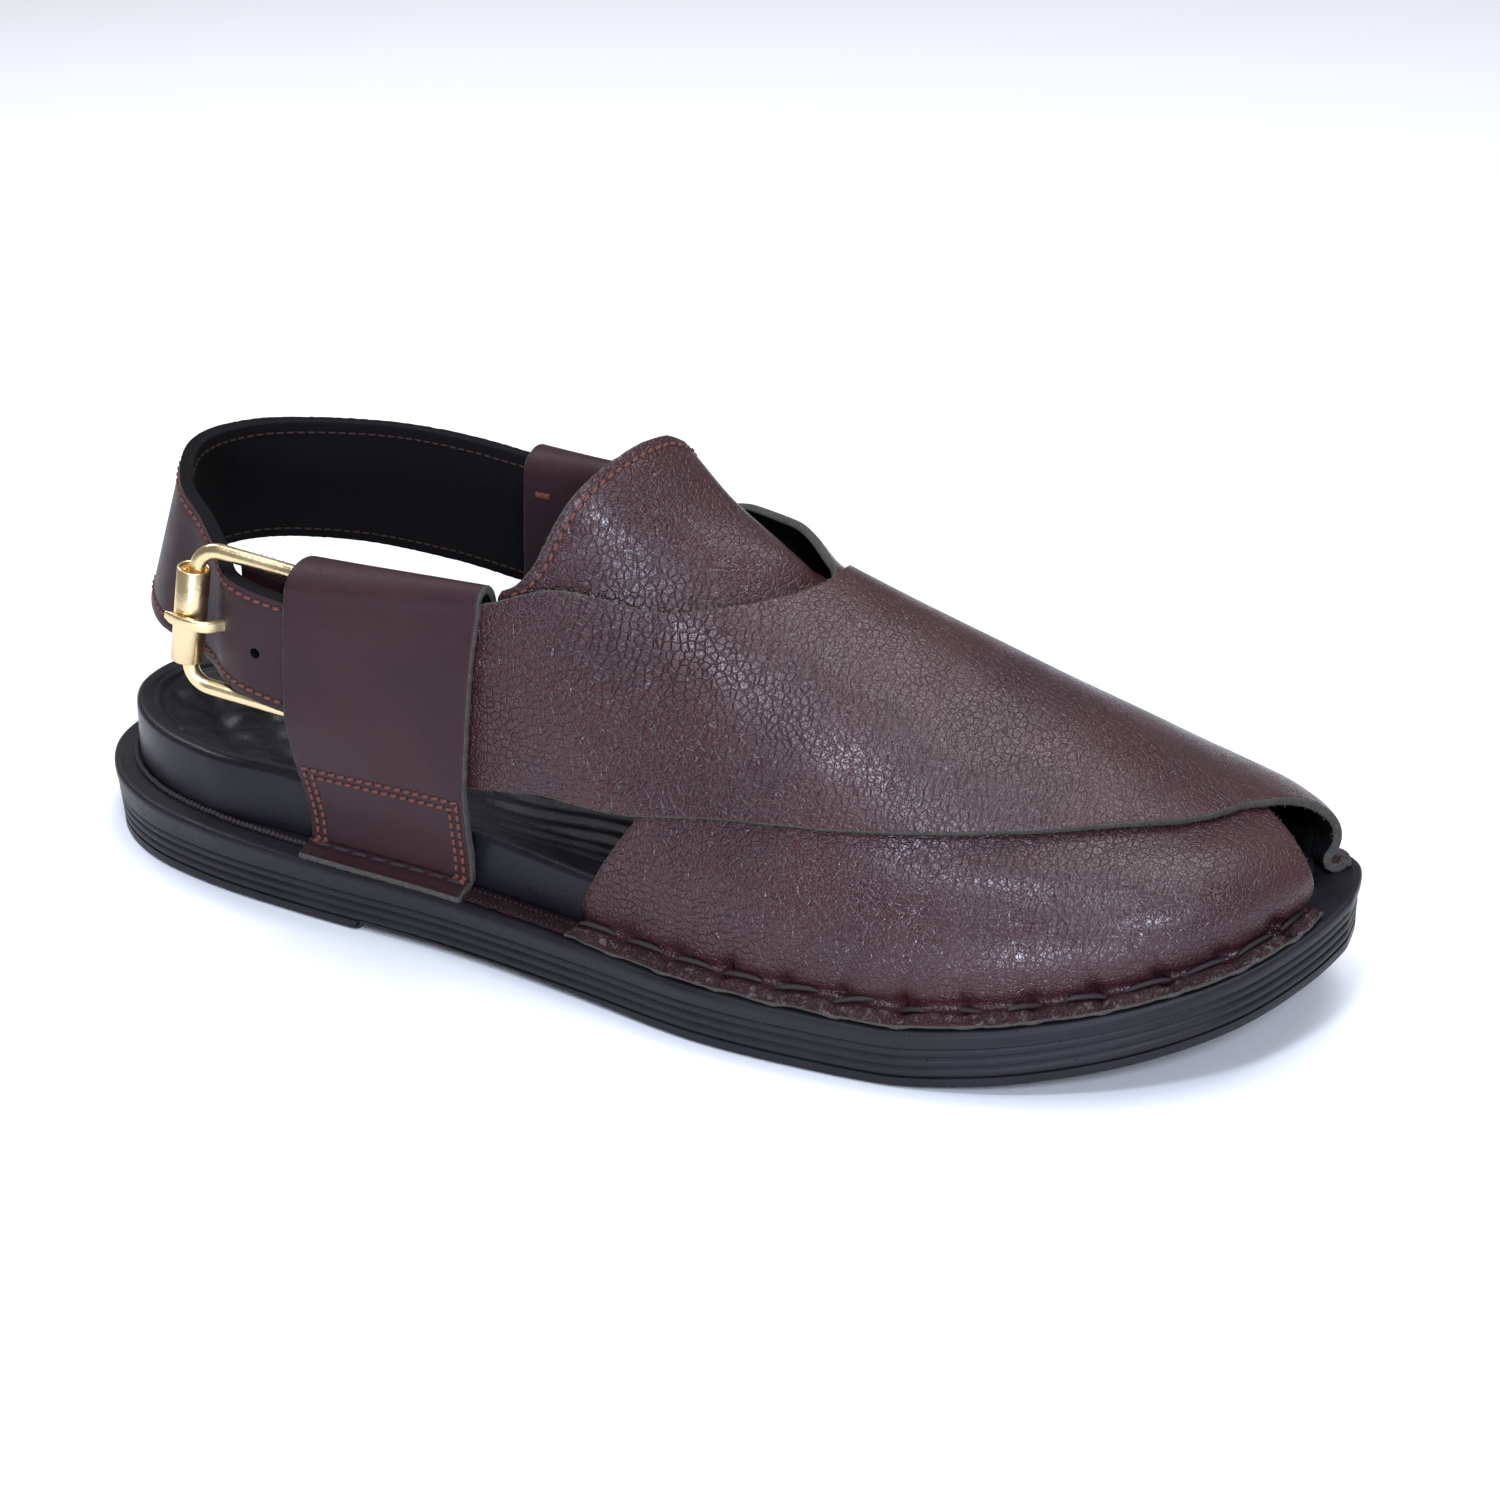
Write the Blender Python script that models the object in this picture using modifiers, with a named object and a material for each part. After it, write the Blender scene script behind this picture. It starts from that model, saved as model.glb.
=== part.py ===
"""Right-foot peshawari chappal, modelled in metres.

+X runs from heel to toe, +Y to the inner (medial) side and +Z up. The origin is at the middle of the
bounding box, on the floor. The outer (lateral) side, with the buckle, is at -Y.
"""
import math

import bmesh
import bpy
import numpy as np
from mathutils import Matrix, Vector

# Sole
LENGTH = 0.288
BALL_WIDTH = 0.1056
SOLE_THICKNESS = 0.0163
TOE_SPRING = 0.0155
SHANK_LIFT = 0.0022
HEEL_BREAST_ALONG = 0.300
BREAST_RUN = 0.0012
FLANGE_STEP = 0.0062
LIP_HEIGHT = 0.0042
RIB_COUNT = 4
RIB_DEPTH = 0.0007
SIDE_DRAFT = 0.0008
EDGE_CHAMFER = 0.0007

# Footbed
FOOTBED_HEIGHT = 0.0143
FOOTBED_RIM = 0.0046
CUP_DEPTH = 0.0068
CUP_RUN = 0.0140

# Last
INSTEP_HEIGHT = 0.0911
POLE_ALONG = 0.925

# Leather
WALL = 0.0018
TONGUE_WALL = 0.0022
STRAP_WALL = 0.0030
CHAPE_WALL = 0.0016
MARGIN = 0.0036
FOLD_RADIUS = 0.0016
EDGE_GAP = 0.0012
EDGE_STAND = 0.0032
LAP_RUN = 0.0070
SEAT = 0.0008
CLEARANCE = 0.0003
TONGUE_GAP = 0.0007
FOOTBED_GAP = 0.0008

# Loops
LATERAL_LOOP_HEIGHT = 0.0655
MEDIAL_LOOP_HEIGHT = 0.0720
LOOP_FOLD = 0.0050
LATERAL_BULGE = 0.0090
MEDIAL_BULGE = 0.0058
FRONT_BULGE = 0.0034
LOOP_POCKET_END = 0.0215
LATERAL_LOOP_INNER = 0.261364 * BALL_WIDTH
MEDIAL_LOOP_INNER = 0.201705 * BALL_WIDTH

# Heel strap
STRAP_WIDTH = 0.0320
STRAP_HEIGHT = 0.0720
SPARE_HOLE = 0.0024
SPARE_HOLE_DROP = 0.0015

# Buckle
WIRE = 0.0034
FRAME_RUN = 0.09236 * LENGTH
FRAME_HEIGHT = 0.0320
FRAME_CORNER = 0.0050
ROLLER_DIAMETER = 0.0070
ROLLER_WALL = 0.0007
ROLLER_LENGTH = 0.0215
PRONG_WIDTH = 0.0028
PRONG_THICKNESS = 0.0016
SLEEVE_WALL = 0.0013
SLEEVE_LENGTH = 0.0200
PIVOT = (-0.23264 * LENGTH, -0.31534 * BALL_WIDTH, 0.8550 * STRAP_HEIGHT)
FRAME_YAW = math.degrees(math.atan(0.4809 * BALL_WIDTH / LENGTH))
FRAME_DIP = 11.5

SOLE_OUTLINE = (
    # along, lateral, medial (shares of LENGTH, BALL_WIDTH, BALL_WIDTH)
    (0.000, 0.068, 0.084),
    (0.030, 0.199, 0.203),
    (0.080, 0.292, 0.286),
    (0.150, 0.348, 0.328),
    (0.250, 0.381, 0.331),
    (0.380, 0.403, 0.327),
    (0.500, 0.449, 0.369),
    (0.600, 0.493, 0.436),
    (0.680, 0.497, 0.488),
    (0.760, 0.479, 0.502),
    (0.840, 0.420, 0.483),
    (0.910, 0.324, 0.422),
    (0.960, 0.203, 0.334),
    (0.990, 0.045, 0.236),
    (1.000, -0.076, 0.102),
)

SOLE_PROFILE = (
    # along, thickness, spring, shank lift, footbed height, cup depth
    (0.000, 1.000, 0.000, 0.00, 1.00, 0.80),
    (0.100, 0.939, 0.000, 0.00, 1.00, 1.00),
    (0.300, 0.870, 0.000, 1.00, 0.96, 0.90),
    (0.450, 0.830, 0.000, 0.60, 0.80, 0.62),
    (0.620, 0.792, 0.000, 0.00, 0.62, 0.45),
    (0.740, 0.785, 0.000, 0.00, 0.50, 0.38),
    (0.800, 0.790, 0.100, 0.00, 0.44, 0.34),
    (0.880, 0.780, 0.360, 0.00, 0.36, 0.26),
    (0.950, 0.760, 0.690, 0.00, 0.30, 0.18),
    (1.000, 0.740, 1.000, 0.00, 0.27, 0.12),
)

LAST_SECTIONS = (
    # along, ridge height, ridge offset, wall handle, crown handle, bulge
    (0.240, 1.520, 0.000, 0.75, 0.70, 0.020),
    (0.360, 1.370, 0.000, 0.72, 0.68, 0.022),
    (0.450, 1.265, 0.020, 0.62, 0.60, 0.022),
    (0.550, 0.995, 0.050, 0.52, 0.50, 0.022),
    (0.650, 0.848, 0.056, 0.46, 0.46, 0.025),
    (0.750, 0.721, 0.067, 0.46, 0.46, 0.028),
    (0.850, 0.598, 0.076, 0.50, 0.50, 0.034),
    (0.920, 0.508, 0.085, 0.54, 0.68, 0.068),
    (1.000, 0.462, 0.090, 0.54, 0.78, 0.125),
)

TOP_FLAP = (
    # rear edge along, rear edge across, front edge along, front edge across
    (0.375, -0.233, 0.375, -0.307),
    (0.421, -0.218, 0.422, -0.312),
    (0.480, -0.178, 0.520, -0.309),
    (0.540, -0.128, 0.617, -0.279),
    (0.590, -0.065, 0.700, -0.238),
    (0.618, -0.005, 0.775, -0.178),
    (0.627, 0.055, 0.840, -0.103),
    (0.620, 0.115, 0.893, -0.010),
    (0.598, 0.185, 0.924, 0.066),
    (0.560, 0.250, 0.940, 0.128),
    (0.520, 0.290, 0.955, 0.168),
    (0.494, 0.320, 0.970, 0.205),
)

UNDER_FLAP = (
    # rear edge along, rear edge across, front edge along, front edge across
    (0.375, 0.188, 0.375, 0.237),
    (0.421, 0.184, 0.422, 0.240),
    (0.480, 0.170, 0.520, 0.262),
    (0.540, 0.140, 0.617, 0.279),
    (0.590, 0.113, 0.700, 0.285),
    (0.617, 0.082, 0.775, 0.268),
    (0.626, 0.035, 0.840, 0.225),
    (0.620, -0.040, 0.890, 0.170),
    (0.600, -0.130, 0.920, 0.118),
    (0.577, -0.215, 0.938, 0.079),
    (0.549, -0.299, 0.953, 0.046),
    (0.494, -0.390, 0.976, 0.015),
)

TONGUE_EDGE = (
    # across (share of the way from ridge to feather line), rear edge along
    (-0.72, 0.428),
    (-0.61, 0.424),
    (-0.57, 0.438),
    (-0.51, 0.451),
    (-0.41, 0.462),
    (-0.34, 0.469),
    (-0.24, 0.479),
    (-0.16, 0.486),
    (-0.01, 0.495),
    (0.12, 0.500),
    (0.24, 0.500),
    (0.36, 0.492),
    (0.52, 0.478),
    (0.72, 0.474),
)
TONGUE_FRONT = 0.70
TONGUE_TAPER = 0.22

LOOP_FACE = (
    # height, rear bulge, front bulge, lean (shares of the loop's height, its bulges and LOOP_LEAN)
    (0.00, 0.00, 0.00, 0.00),
    (0.06, 0.02, 0.05, 0.06),
    (0.20, 0.30, 0.55, 0.20),
    (0.35, 0.70, 1.00, 0.35),
    (0.50, 1.00, 0.85, 0.50),
    (0.70, 1.00, 0.50, 0.70),
    (0.84, 0.98, 0.00, 0.84),
    (0.93, 0.88, -0.50, 0.93),
)
LOOP_LEAN = 0.0062
LATERAL_LOOP_SPAN = (0.2525, 0.3960)
MEDIAL_LOOP_SPAN = (0.3190, 0.4360)

STRAP_PATH = (
    # along, across, mid height, width, lean (shares of LENGTH, BALL_WIDTH, STRAP_HEIGHT, STRAP_WIDTH twice)
    (-0.160, -0.341, 0.800, 0.79, 0.00),
    (-0.194, -0.348, 0.823, 0.79, 0.00),
    (-0.233, -0.363, 0.851, 0.80, 0.00),
    (-0.264, -0.369, 0.879, 0.80, 0.00),
    (-0.284, -0.360, 0.897, 0.80, 0.02),
    (-0.299, -0.334, 0.906, 0.80, 0.06),
    (-0.313, -0.300, 0.924, 0.83, 0.09),
    (-0.341, -0.252, 0.964, 0.90, 0.15),
    (-0.377, -0.203, 1.002, 0.96, 0.26),
    (-0.399, -0.132, 1.030, 0.99, 0.32),
    (-0.411, -0.056, 1.043, 0.99, 0.33),
    (-0.414, 0.024, 1.047, 0.97, 0.33),
    (-0.409, 0.098, 1.046, 0.93, 0.30),
    (-0.391, 0.168, 1.040, 0.91, 0.22),
    (-0.360, 0.226, 1.027, 0.90, 0.13),
    (-0.320, 0.262, 1.018, 0.90, 0.06),
    (-0.278, 0.273, 1.012, 0.91, 0.01),
    (-0.226, 0.268, 1.004, 0.92, 0.00),
    (-0.180, 0.262, 0.985, 0.93, 0.00),
    (-0.144, 0.257, 0.968, 0.93, 0.00),
)
SPARE_HOLE_ALONG = -0.264

CHAPE_PATH = (
    # along, inward of the pivot bar, low edge, high edge (shares of LENGTH, WIRE, FRAME_HEIGHT twice)
    (-0.166, 0.82, -0.37, 0.32),
    (-0.200, 0.82, -0.40, 0.38),
    (-0.233, 0.82, -0.43, 0.47),
    (-0.260, 0.44, -0.39, 0.54),
    (-0.285, 0.06, -0.34, 0.58),
)

PRONG_PATH = (
    # along the frame from the pivot, outward of its plane (shares of FRAME_RUN, ROLLER_DIAMETER)
    (0.088, 0.315),
    (0.350, 0.190),
    (0.504, 0.165),
    (0.662, 0.281),
    (0.830, 0.590),
    (1.020, 0.670),
    (1.180, 0.420),
)

RING_STEPS = 34
FLAP_ROWS = 24
FLAP_COLUMNS = 14
MARGIN_ROWS = 2
TONGUE_ROWS = 12
TONGUE_COLUMNS = 16
LOOP_COLUMNS = 5
FOLD_STEPS = 8
CURVE_STEPS = 3
PIPE_STEPS = 16


def column(table, k):
    """One column of a table as an array."""
    return np.array([row[k] for row in table], float)


def smoothstep(t):
    """Ease from 0 to 1 with flat ends."""
    t = np.clip(t, 0.0, 1.0)
    return t * t * (3.0 - 2.0 * t)


def monotone(x, xs, ys):
    """Cubic through a table's points that never overshoots them (harmonic mean slopes)."""
    x = np.clip(np.asarray(x, float), xs[0], xs[-1])
    step = np.diff(xs)
    rise = np.diff(ys) / step
    slope = np.zeros(len(xs))
    near = 2.0 * step[1:] + step[:-1]
    far = step[1:] + 2.0 * step[:-1]
    with np.errstate(divide="ignore", invalid="ignore"):
        mean = (near + far) / (near / rise[:-1] + far / rise[1:])
    slope[1:-1] = np.where(rise[:-1] * rise[1:] > 0.0, mean, 0.0)
    slope[0] = rise[0]
    slope[-1] = rise[-1]
    i = np.clip(np.searchsorted(xs, x, side="right") - 1, 0, len(step) - 1)
    t = (x - xs[i]) / step[i]
    value = ys[i] * (1 + 2 * t) * (1 - t) ** 2 + ys[i + 1] * t * t * (3 - 2 * t)
    return value + step[i] * (slope[i] * t * (1 - t) ** 2 + slope[i + 1] * t * t * (t - 1))


def spline(points, closed=False, steps=8):
    """Centripetal Catmull-Rom curve through points, with a number of steps between two of them."""
    p = np.asarray(points, float)
    spans = len(p)
    if closed:
        padded = np.vstack([p[-1:], p, p[:2]])
    else:
        padded = np.vstack([2 * p[0] - p[1], p, 2 * p[-1] - p[-2]])
        spans -= 1
    pieces = []
    for i in range(spans):
        a, b, c, d = padded[i:i + 4]
        t1 = np.linalg.norm(b - a) ** 0.5
        t2 = t1 + np.linalg.norm(c - b) ** 0.5
        t3 = t2 + np.linalg.norm(d - c) ** 0.5
        t = np.linspace(t1, t2, steps, endpoint=False)[:, None]
        ab = a + (b - a) * t / t1
        bc = b + (c - b) * (t - t1) / (t2 - t1)
        cd = c + (d - c) * (t - t2) / (t3 - t2)
        abc = ab + (bc - ab) * t / t2
        bcd = bc + (cd - bc) * (t - t1) / (t3 - t1)
        pieces.append(abc + (bcd - abc) * (t - t1) / (t2 - t1))
    curve = np.vstack(pieces)
    if closed:
        return curve
    return np.vstack([curve, p[-1:]])


def x_at(along):
    """X of a share of the length, counted from the heel."""
    return (np.asarray(along, float) - 0.5) * LENGTH


def along_at(x):
    """Share of the length, counted from the heel, at an X."""
    return np.asarray(x, float) / LENGTH + 0.5


def sole_outline():
    """Closed plan outline of the flange, centred, exactly LENGTH by BALL_WIDTH."""
    x = x_at(column(SOLE_OUTLINE, 0))
    lateral = np.column_stack([x, -column(SOLE_OUTLINE, 1) * BALL_WIDTH])
    medial = np.column_stack([x, column(SOLE_OUTLINE, 2) * BALL_WIDTH])
    curve = spline(np.vstack([lateral, medial[::-1]]), closed=True, steps=16)
    low = curve.min(axis=0)
    high = curve.max(axis=0)
    return (curve - (low + high) / 2) * (np.array([LENGTH, BALL_WIDTH]) / (high - low))


def inset_outline(distance):
    """The sole's outline moved inward along its normals by a distance or by a function of along."""
    curve = sole_outline()
    tangent = np.roll(curve, -1, axis=0) - np.roll(curve, 1, axis=0)
    tangent /= np.linalg.norm(tangent, axis=1)[:, None]
    outward = np.column_stack([tangent[:, 1], -tangent[:, 0]])
    amount = distance(along_at(curve[:, 0])) if callable(distance) else distance
    return curve - outward * np.reshape(amount, (-1, 1))


def halves(curve):
    """Lateral and medial halves of a closed outline, each from heel to toe."""
    curve = np.roll(curve, -int(np.argmin(curve[:, 0])), axis=0)
    toe = int(np.argmax(curve[:, 0]))
    first = curve[:toe + 1]
    second = np.vstack([curve[toe:], curve[:1]])[::-1]
    if first[:, 1].mean() < second[:, 1].mean():
        return first, second
    return second, first


def sole_profile(along, k):
    """One column of SOLE_PROFILE at shares of the length."""
    return monotone(along, column(SOLE_PROFILE, 0), column(SOLE_PROFILE, k))


def spring_height(along):
    """Rise of the walking face toward the toe."""
    return TOE_SPRING * sole_profile(along, 2)


def bottom_height(along):
    """Walking face: flat heel, breast step, shank running back down, flat ball and sprung toe."""
    along = np.asarray(along, float)
    ahead = smoothstep((x_at(along) - x_at(HEEL_BREAST_ALONG)) / BREAST_RUN)
    return spring_height(along) + SHANK_LIFT * sole_profile(along, 3) * ahead


def ledge_height(along):
    """Top face of the outsole's ledge."""
    return SOLE_THICKNESS * sole_profile(along, 1) + spring_height(along)


FEATHER = inset_outline(FLANGE_STEP)
FEATHER_LATERAL, FEATHER_MEDIAL = halves(FEATHER)


def feather_y(x, lateral):
    """Y of the feather line, where leather turns out over the ledge."""
    outer = np.interp(x, FEATHER_LATERAL[:, 0], FEATHER_LATERAL[:, 1])
    inner = np.interp(x, FEATHER_MEDIAL[:, 0], FEATHER_MEDIAL[:, 1])
    return np.where(lateral, outer, inner)


def last_section(along, k):
    """One column of LAST_SECTIONS at shares of the length."""
    return monotone(along, column(LAST_SECTIONS, 0), column(LAST_SECTIONS, k))


def ridge(along):
    """Y and Z of the last's ridge."""
    return BALL_WIDTH * last_section(along, 2), INSTEP_HEIGHT * last_section(along, 1)


def last_surface(x, y):
    """Outer face of leather drawn over the last, for points of its flat plan.

    Each point lies on a rib, a cubic Bezier from the feather line up to the ridge. The ribs stand
    square to the length up to the pole near the toe, and fan out round the toe from there.
    """
    x, y = np.broadcast_arrays(np.asarray(x, float), np.asarray(y, float))
    pole_x = x_at(POLE_ALONG)
    pole_y = ridge(POLE_ALONG)[0]
    spine_x = np.minimum(x, pole_x)
    along = along_at(spine_x)
    ridge_y, ridge_z = ridge(along)
    side_foot = np.stack([spine_x, feather_y(spine_x, y < ridge_y)], axis=-1)
    spokes = FEATHER - np.array([pole_x, pole_y])
    angles = np.arctan2(spokes[:, 1], spokes[:, 0])
    order = np.argsort(angles)
    angle = np.arctan2(y - pole_y, np.maximum(x - pole_x, 1e-9))
    radius = np.interp(angle, angles[order], np.hypot(spokes[:, 0], spokes[:, 1])[order])
    toe_foot = np.stack([pole_x + radius * np.cos(angle), pole_y + radius * np.sin(angle)], axis=-1)
    foot = np.where((x > pole_x)[..., None], toe_foot, side_foot)
    top = np.stack([spine_x, ridge_y], axis=-1)
    width = np.linalg.norm(foot - top, axis=-1)
    outward = (foot - top) / width[..., None]
    reach = ((np.stack([x, y], axis=-1) - top) * outward).sum(axis=-1) / width
    u = 1.0 - np.clip(reach, 0.0, 1.0)
    foot_z = ledge_height(along_at(foot[..., 0])) + CLEARANCE + WALL
    nudge = 1e-3
    fall = (ridge(along + nudge)[1] - ridge(along - nudge)[1]) / (2 * nudge * LENGTH)
    crown = last_section(along, 4) * width
    bulge = last_section(along, 5) * BALL_WIDTH
    wall = last_section(along, 3) * (ridge_z - foot_z)
    p0 = np.concatenate([foot, foot_z[..., None]], axis=-1)
    p3 = np.concatenate([top, ridge_z[..., None]], axis=-1)
    p1 = p0 + np.concatenate([outward * bulge[..., None], wall[..., None]], axis=-1)
    drop = outward[..., 0] * crown * fall
    p2 = p3 + np.concatenate([outward * crown[..., None], drop[..., None]], axis=-1)
    weights = ((1 - u) ** 3, 3 * u * (1 - u) ** 2, 3 * u * u * (1 - u), u ** 3)
    return sum(w[..., None] * p for w, p in zip(weights, (p0, p1, p2, p3)))


def rib_plan(along, share):
    """Plan point at a signed share of the way from the ridge to the feather line."""
    x = x_at(along)
    ridge_y = ridge(along)[0]
    return x, ridge_y + np.abs(share) * (feather_y(x, share < 0) - ridge_y)


def grid_normals(grid):
    """Unit normals of a grid of points, across the product of its two directions."""
    normal = np.cross(np.gradient(grid, axis=0), np.gradient(grid, axis=1))
    return normal / np.linalg.norm(normal, axis=-1)[..., None]


def new_collection(name):
    """A collection linked to the scene."""
    collection = bpy.data.collections.new(name)
    bpy.context.scene.collection.children.link(collection)
    return collection


def new_material(name, colour, roughness, metallic=0.0):
    """A Principled material of one colour."""
    material = bpy.data.materials.new(name)
    material.use_nodes = True
    shader = material.node_tree.nodes["Principled BSDF"]
    shader.inputs["Base Color"].default_value = (*colour, 1.0)
    shader.inputs["Roughness"].default_value = roughness
    shader.inputs["Metallic"].default_value = metallic
    return material


def new_object(name, vertices, faces, material, collection, closed=True):
    """A mesh object shaded smooth except at its edges, a closed one with its faces turned outward."""
    mesh = bpy.data.meshes.new(name)
    mesh.from_pydata([tuple(v) for v in vertices], [], faces)
    mesh.validate()
    if closed:
        bm = bmesh.new()
        bm.from_mesh(mesh)
        bmesh.ops.recalc_face_normals(bm, faces=bm.faces[:])
        bm.to_mesh(mesh)
        bm.free()
    mesh.shade_smooth()
    mesh.set_sharp_from_angle(angle=math.radians(40.0))
    mesh.materials.append(material)
    item = bpy.data.objects.new(name, mesh)
    collection.objects.link(item)
    return item


def shell(name, grid, thickness, material, collection):
    """A leather piece: an open grid of points, its outer face, thickened inward by Solidify."""
    rows, columns = grid.shape[:2]
    index = np.arange(rows * columns).reshape(rows, columns)
    corners = (index[:-1, :-1], index[1:, :-1], index[1:, 1:], index[:-1, 1:])
    faces = np.stack(corners, axis=-1).reshape(-1, 4).tolist()
    item = new_object(name, grid.reshape(-1, 3), faces, material, collection, closed=False)
    solid = item.modifiers.new("Leather", "SOLIDIFY")
    solid.thickness = thickness
    solid.offset = -1.0
    solid.use_rim = True
    return item


def ring_stations():
    """Shares of a ring's own length, close together at heel and toe and at the heel breast."""
    even = (1.0 - np.cos(np.linspace(0.0, math.pi, RING_STEPS + 1))) / 2
    breast = HEEL_BREAST_ALONG + np.array([0.0, BREAST_RUN / LENGTH])
    keep = np.abs(even[:, None] - breast.mean()).min(axis=1) > 0.006
    return np.sort(np.concatenate([even[keep], breast]))


def ring(inset, height):
    """A closed ring of points, heel to toe on the lateral side and back on the medial side."""
    lateral, medial = halves(inset_outline(inset))
    x = lateral[0, 0] + ring_stations() * (lateral[-1, 0] - lateral[0, 0])
    out = np.column_stack([x, np.interp(x, lateral[:, 0], lateral[:, 1])])
    back = np.column_stack([x, np.interp(x, medial[:, 0], medial[:, 1])])[::-1]
    out[0, 1] = back[-1, 1] = (lateral[0, 1] + medial[0, 1]) / 2
    out[-1, 1] = back[0, 1] = (lateral[-1, 1] + medial[-1, 1]) / 2
    plan = np.vstack([out, back[1:-1]])
    return np.column_stack([plan, height(along_at(plan[:, 0]))])


def ring_solid(name, rings, material, collection):
    """A solid lofted through rings from below upward, closed by strips across its ends."""
    count = len(rings[0])
    toe = count // 2
    vertices = np.vstack(rings)
    faces = []
    for level in range(len(rings) - 1):
        base = level * count
        for i in range(count):
            j = (i + 1) % count
            faces.append((base + i, base + j, base + count + j, base + count + i))
    for base, below in ((0, True), ((len(rings) - 1) * count, False)):
        for i in range(toe):
            corners = [base + i, base + i + 1, base + (count - i - 1) % count, base + (count - i) % count]
            face = list(dict.fromkeys(corners))
            faces.append(tuple(face[::-1]) if below else tuple(face))
    return new_object(name, vertices, faces, material, collection)


def outsole(material, collection):
    """Moulded unit sole: chamfered walking edge, ribbed side, rounded flange lip and flat ledge."""
    rings = [
        ring(SIDE_DRAFT + 2 * EDGE_CHAMFER, bottom_height),
        ring(SIDE_DRAFT + 0.6 * EDGE_CHAMFER, lambda a: bottom_height(a) + 0.6 * EDGE_CHAMFER),
    ]
    steps = 2 * RIB_COUNT
    for k in range(steps + 1):
        share = k / steps
        groove = RIB_DEPTH if k % 2 else 0.0
        draft = SIDE_DRAFT * (1.0 - 0.4 * share)

        def side_height(a, share=share):
            low = bottom_height(a) + EDGE_CHAMFER
            high = ledge_height(a) - LIP_HEIGHT
            return low + share * (high - low)

        rings.append(ring(draft + groove, side_height))
    lip = ((0.20, 0.78), (0.0, 0.52), (0.0, 0.34), (0.14, 0.12), (0.42, 0.0))
    for inset, drop in lip:
        rings.append(ring(inset * LIP_HEIGHT, lambda a, drop=drop: ledge_height(a) - drop * LIP_HEIGHT))
    rings.append(ring(FLANGE_STEP + WALL, ledge_height))
    return ring_solid("outsole", rings, material, collection)


def footbed_inset(along):
    """The footbed's wall: out at the feather line round the heel, one leather further in ahead of it."""
    share = smoothstep((np.asarray(along, float) - 0.14) / 0.08)
    return FLANGE_STEP + (WALL + FOOTBED_GAP) * share


def insole(material, collection):
    """Moulded footbed: smooth side wall leaning in, round rim and a cupped top."""
    lean = 0.16 * FOOTBED_RIM

    def inset(extra):
        return lambda a: footbed_inset(a) + extra

    def top(drop_share, rim_drop=0.0):
        def height(a):
            rim = ledge_height(a) + FOOTBED_HEIGHT * sole_profile(a, 4) - rim_drop
            return rim - CUP_DEPTH * sole_profile(a, 5) * drop_share
        return height

    corner = 0.30 * FOOTBED_RIM
    rings = [
        ring(inset(0.0), lambda a: ledge_height(a) + CLEARANCE),
        ring(inset(0.3 * lean), lambda a: ledge_height(a) + 0.35 * FOOTBED_HEIGHT * sole_profile(a, 4)),
        ring(inset(0.8 * lean), top(0.0, corner)),
        ring(inset(lean + 0.35 * corner), top(0.0, 0.3 * corner)),
        ring(inset(lean + corner), top(0.0)),
        ring(inset(FOOTBED_RIM - corner), top(0.03)),
        ring(inset(FOOTBED_RIM), top(0.18)),
        ring(inset(FOOTBED_RIM + 0.35 * CUP_RUN), top(0.60)),
        ring(inset(FOOTBED_RIM + CUP_RUN), top(1.0)),
    ]
    return ring_solid("insole", rings, material, collection)


def nearest_feather(point):
    """Index on the feather line nearest to a plan point."""
    return int(np.argmin(np.hypot(FEATHER[:, 0] - point[0], FEATHER[:, 1] - point[1])))


def feather_run(start, end, shares):
    """Plan points and outward normals along the feather line, at shares between two plan points."""
    a = nearest_feather(start)
    b = nearest_feather(end)
    size = len(FEATHER)
    forward = (b - a) % size
    backward = (a - b) % size
    signed = forward if forward < backward else -backward
    exact = a + shares * signed
    low = np.floor(exact).astype(int)
    mix = (exact - low)[:, None]
    line = FEATHER[low % size] * (1 - mix) + FEATHER[(low + 1) % size] * mix
    tangent = np.roll(FEATHER, -1, axis=0) - np.roll(FEATHER, 1, axis=0)
    tangent /= np.linalg.norm(tangent, axis=1)[:, None]
    outward = np.column_stack([tangent[:, 1], -tangent[:, 0]])
    return line, outward[low % size]


def flap_columns():
    """Shares across a flap from its rear edge, closer together toward the toe."""
    share = np.linspace(0.0, 1.0, FLAP_COLUMNS)
    return share + 0.25 * share * (1.0 - share)


def flap_plan(table, rows):
    """Plan grid of a flap between its two edges, bent to end on the feather line."""
    scale = np.array([LENGTH, BALL_WIDTH])
    rear = spline(np.column_stack([column(table, 0) - 0.5, column(table, 1)]) * scale)
    front = spline(np.column_stack([column(table, 2) - 0.5, column(table, 3)]) * scale)
    columns = flap_columns()
    line, outward = feather_run(rear[-1], front[-1], columns)
    span = np.linspace(0.0, 1.0, len(rear))
    a = rows[:, None, None]
    b = columns[None, :, None]
    first = np.column_stack([np.interp(rows, span, rear[:, k]) for k in (0, 1)])
    last = np.column_stack([np.interp(rows, span, front[:, k]) for k in (0, 1)])
    ruled = (1 - b) * first[:, None] + b * last[:, None]
    end = (1 - b) * rear[-1] + b * front[-1]
    return ruled + a ** 4 * (line[None] - end), line, outward


def even_rows(table):
    """Shares along a flap that put its rows at even distances over the last."""
    share = np.linspace(0.0, 1.0, 4 * FLAP_ROWS)
    plan = flap_plan(table, share)[0]
    grid = last_surface(plan[..., 0], plan[..., 1])
    step = np.linalg.norm(np.diff(grid, axis=0), axis=-1).mean(axis=1)
    total = np.concatenate([[0.0], np.cumsum(step)])
    return np.interp(np.linspace(0.0, total[-1], FLAP_ROWS), total, share)


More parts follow.
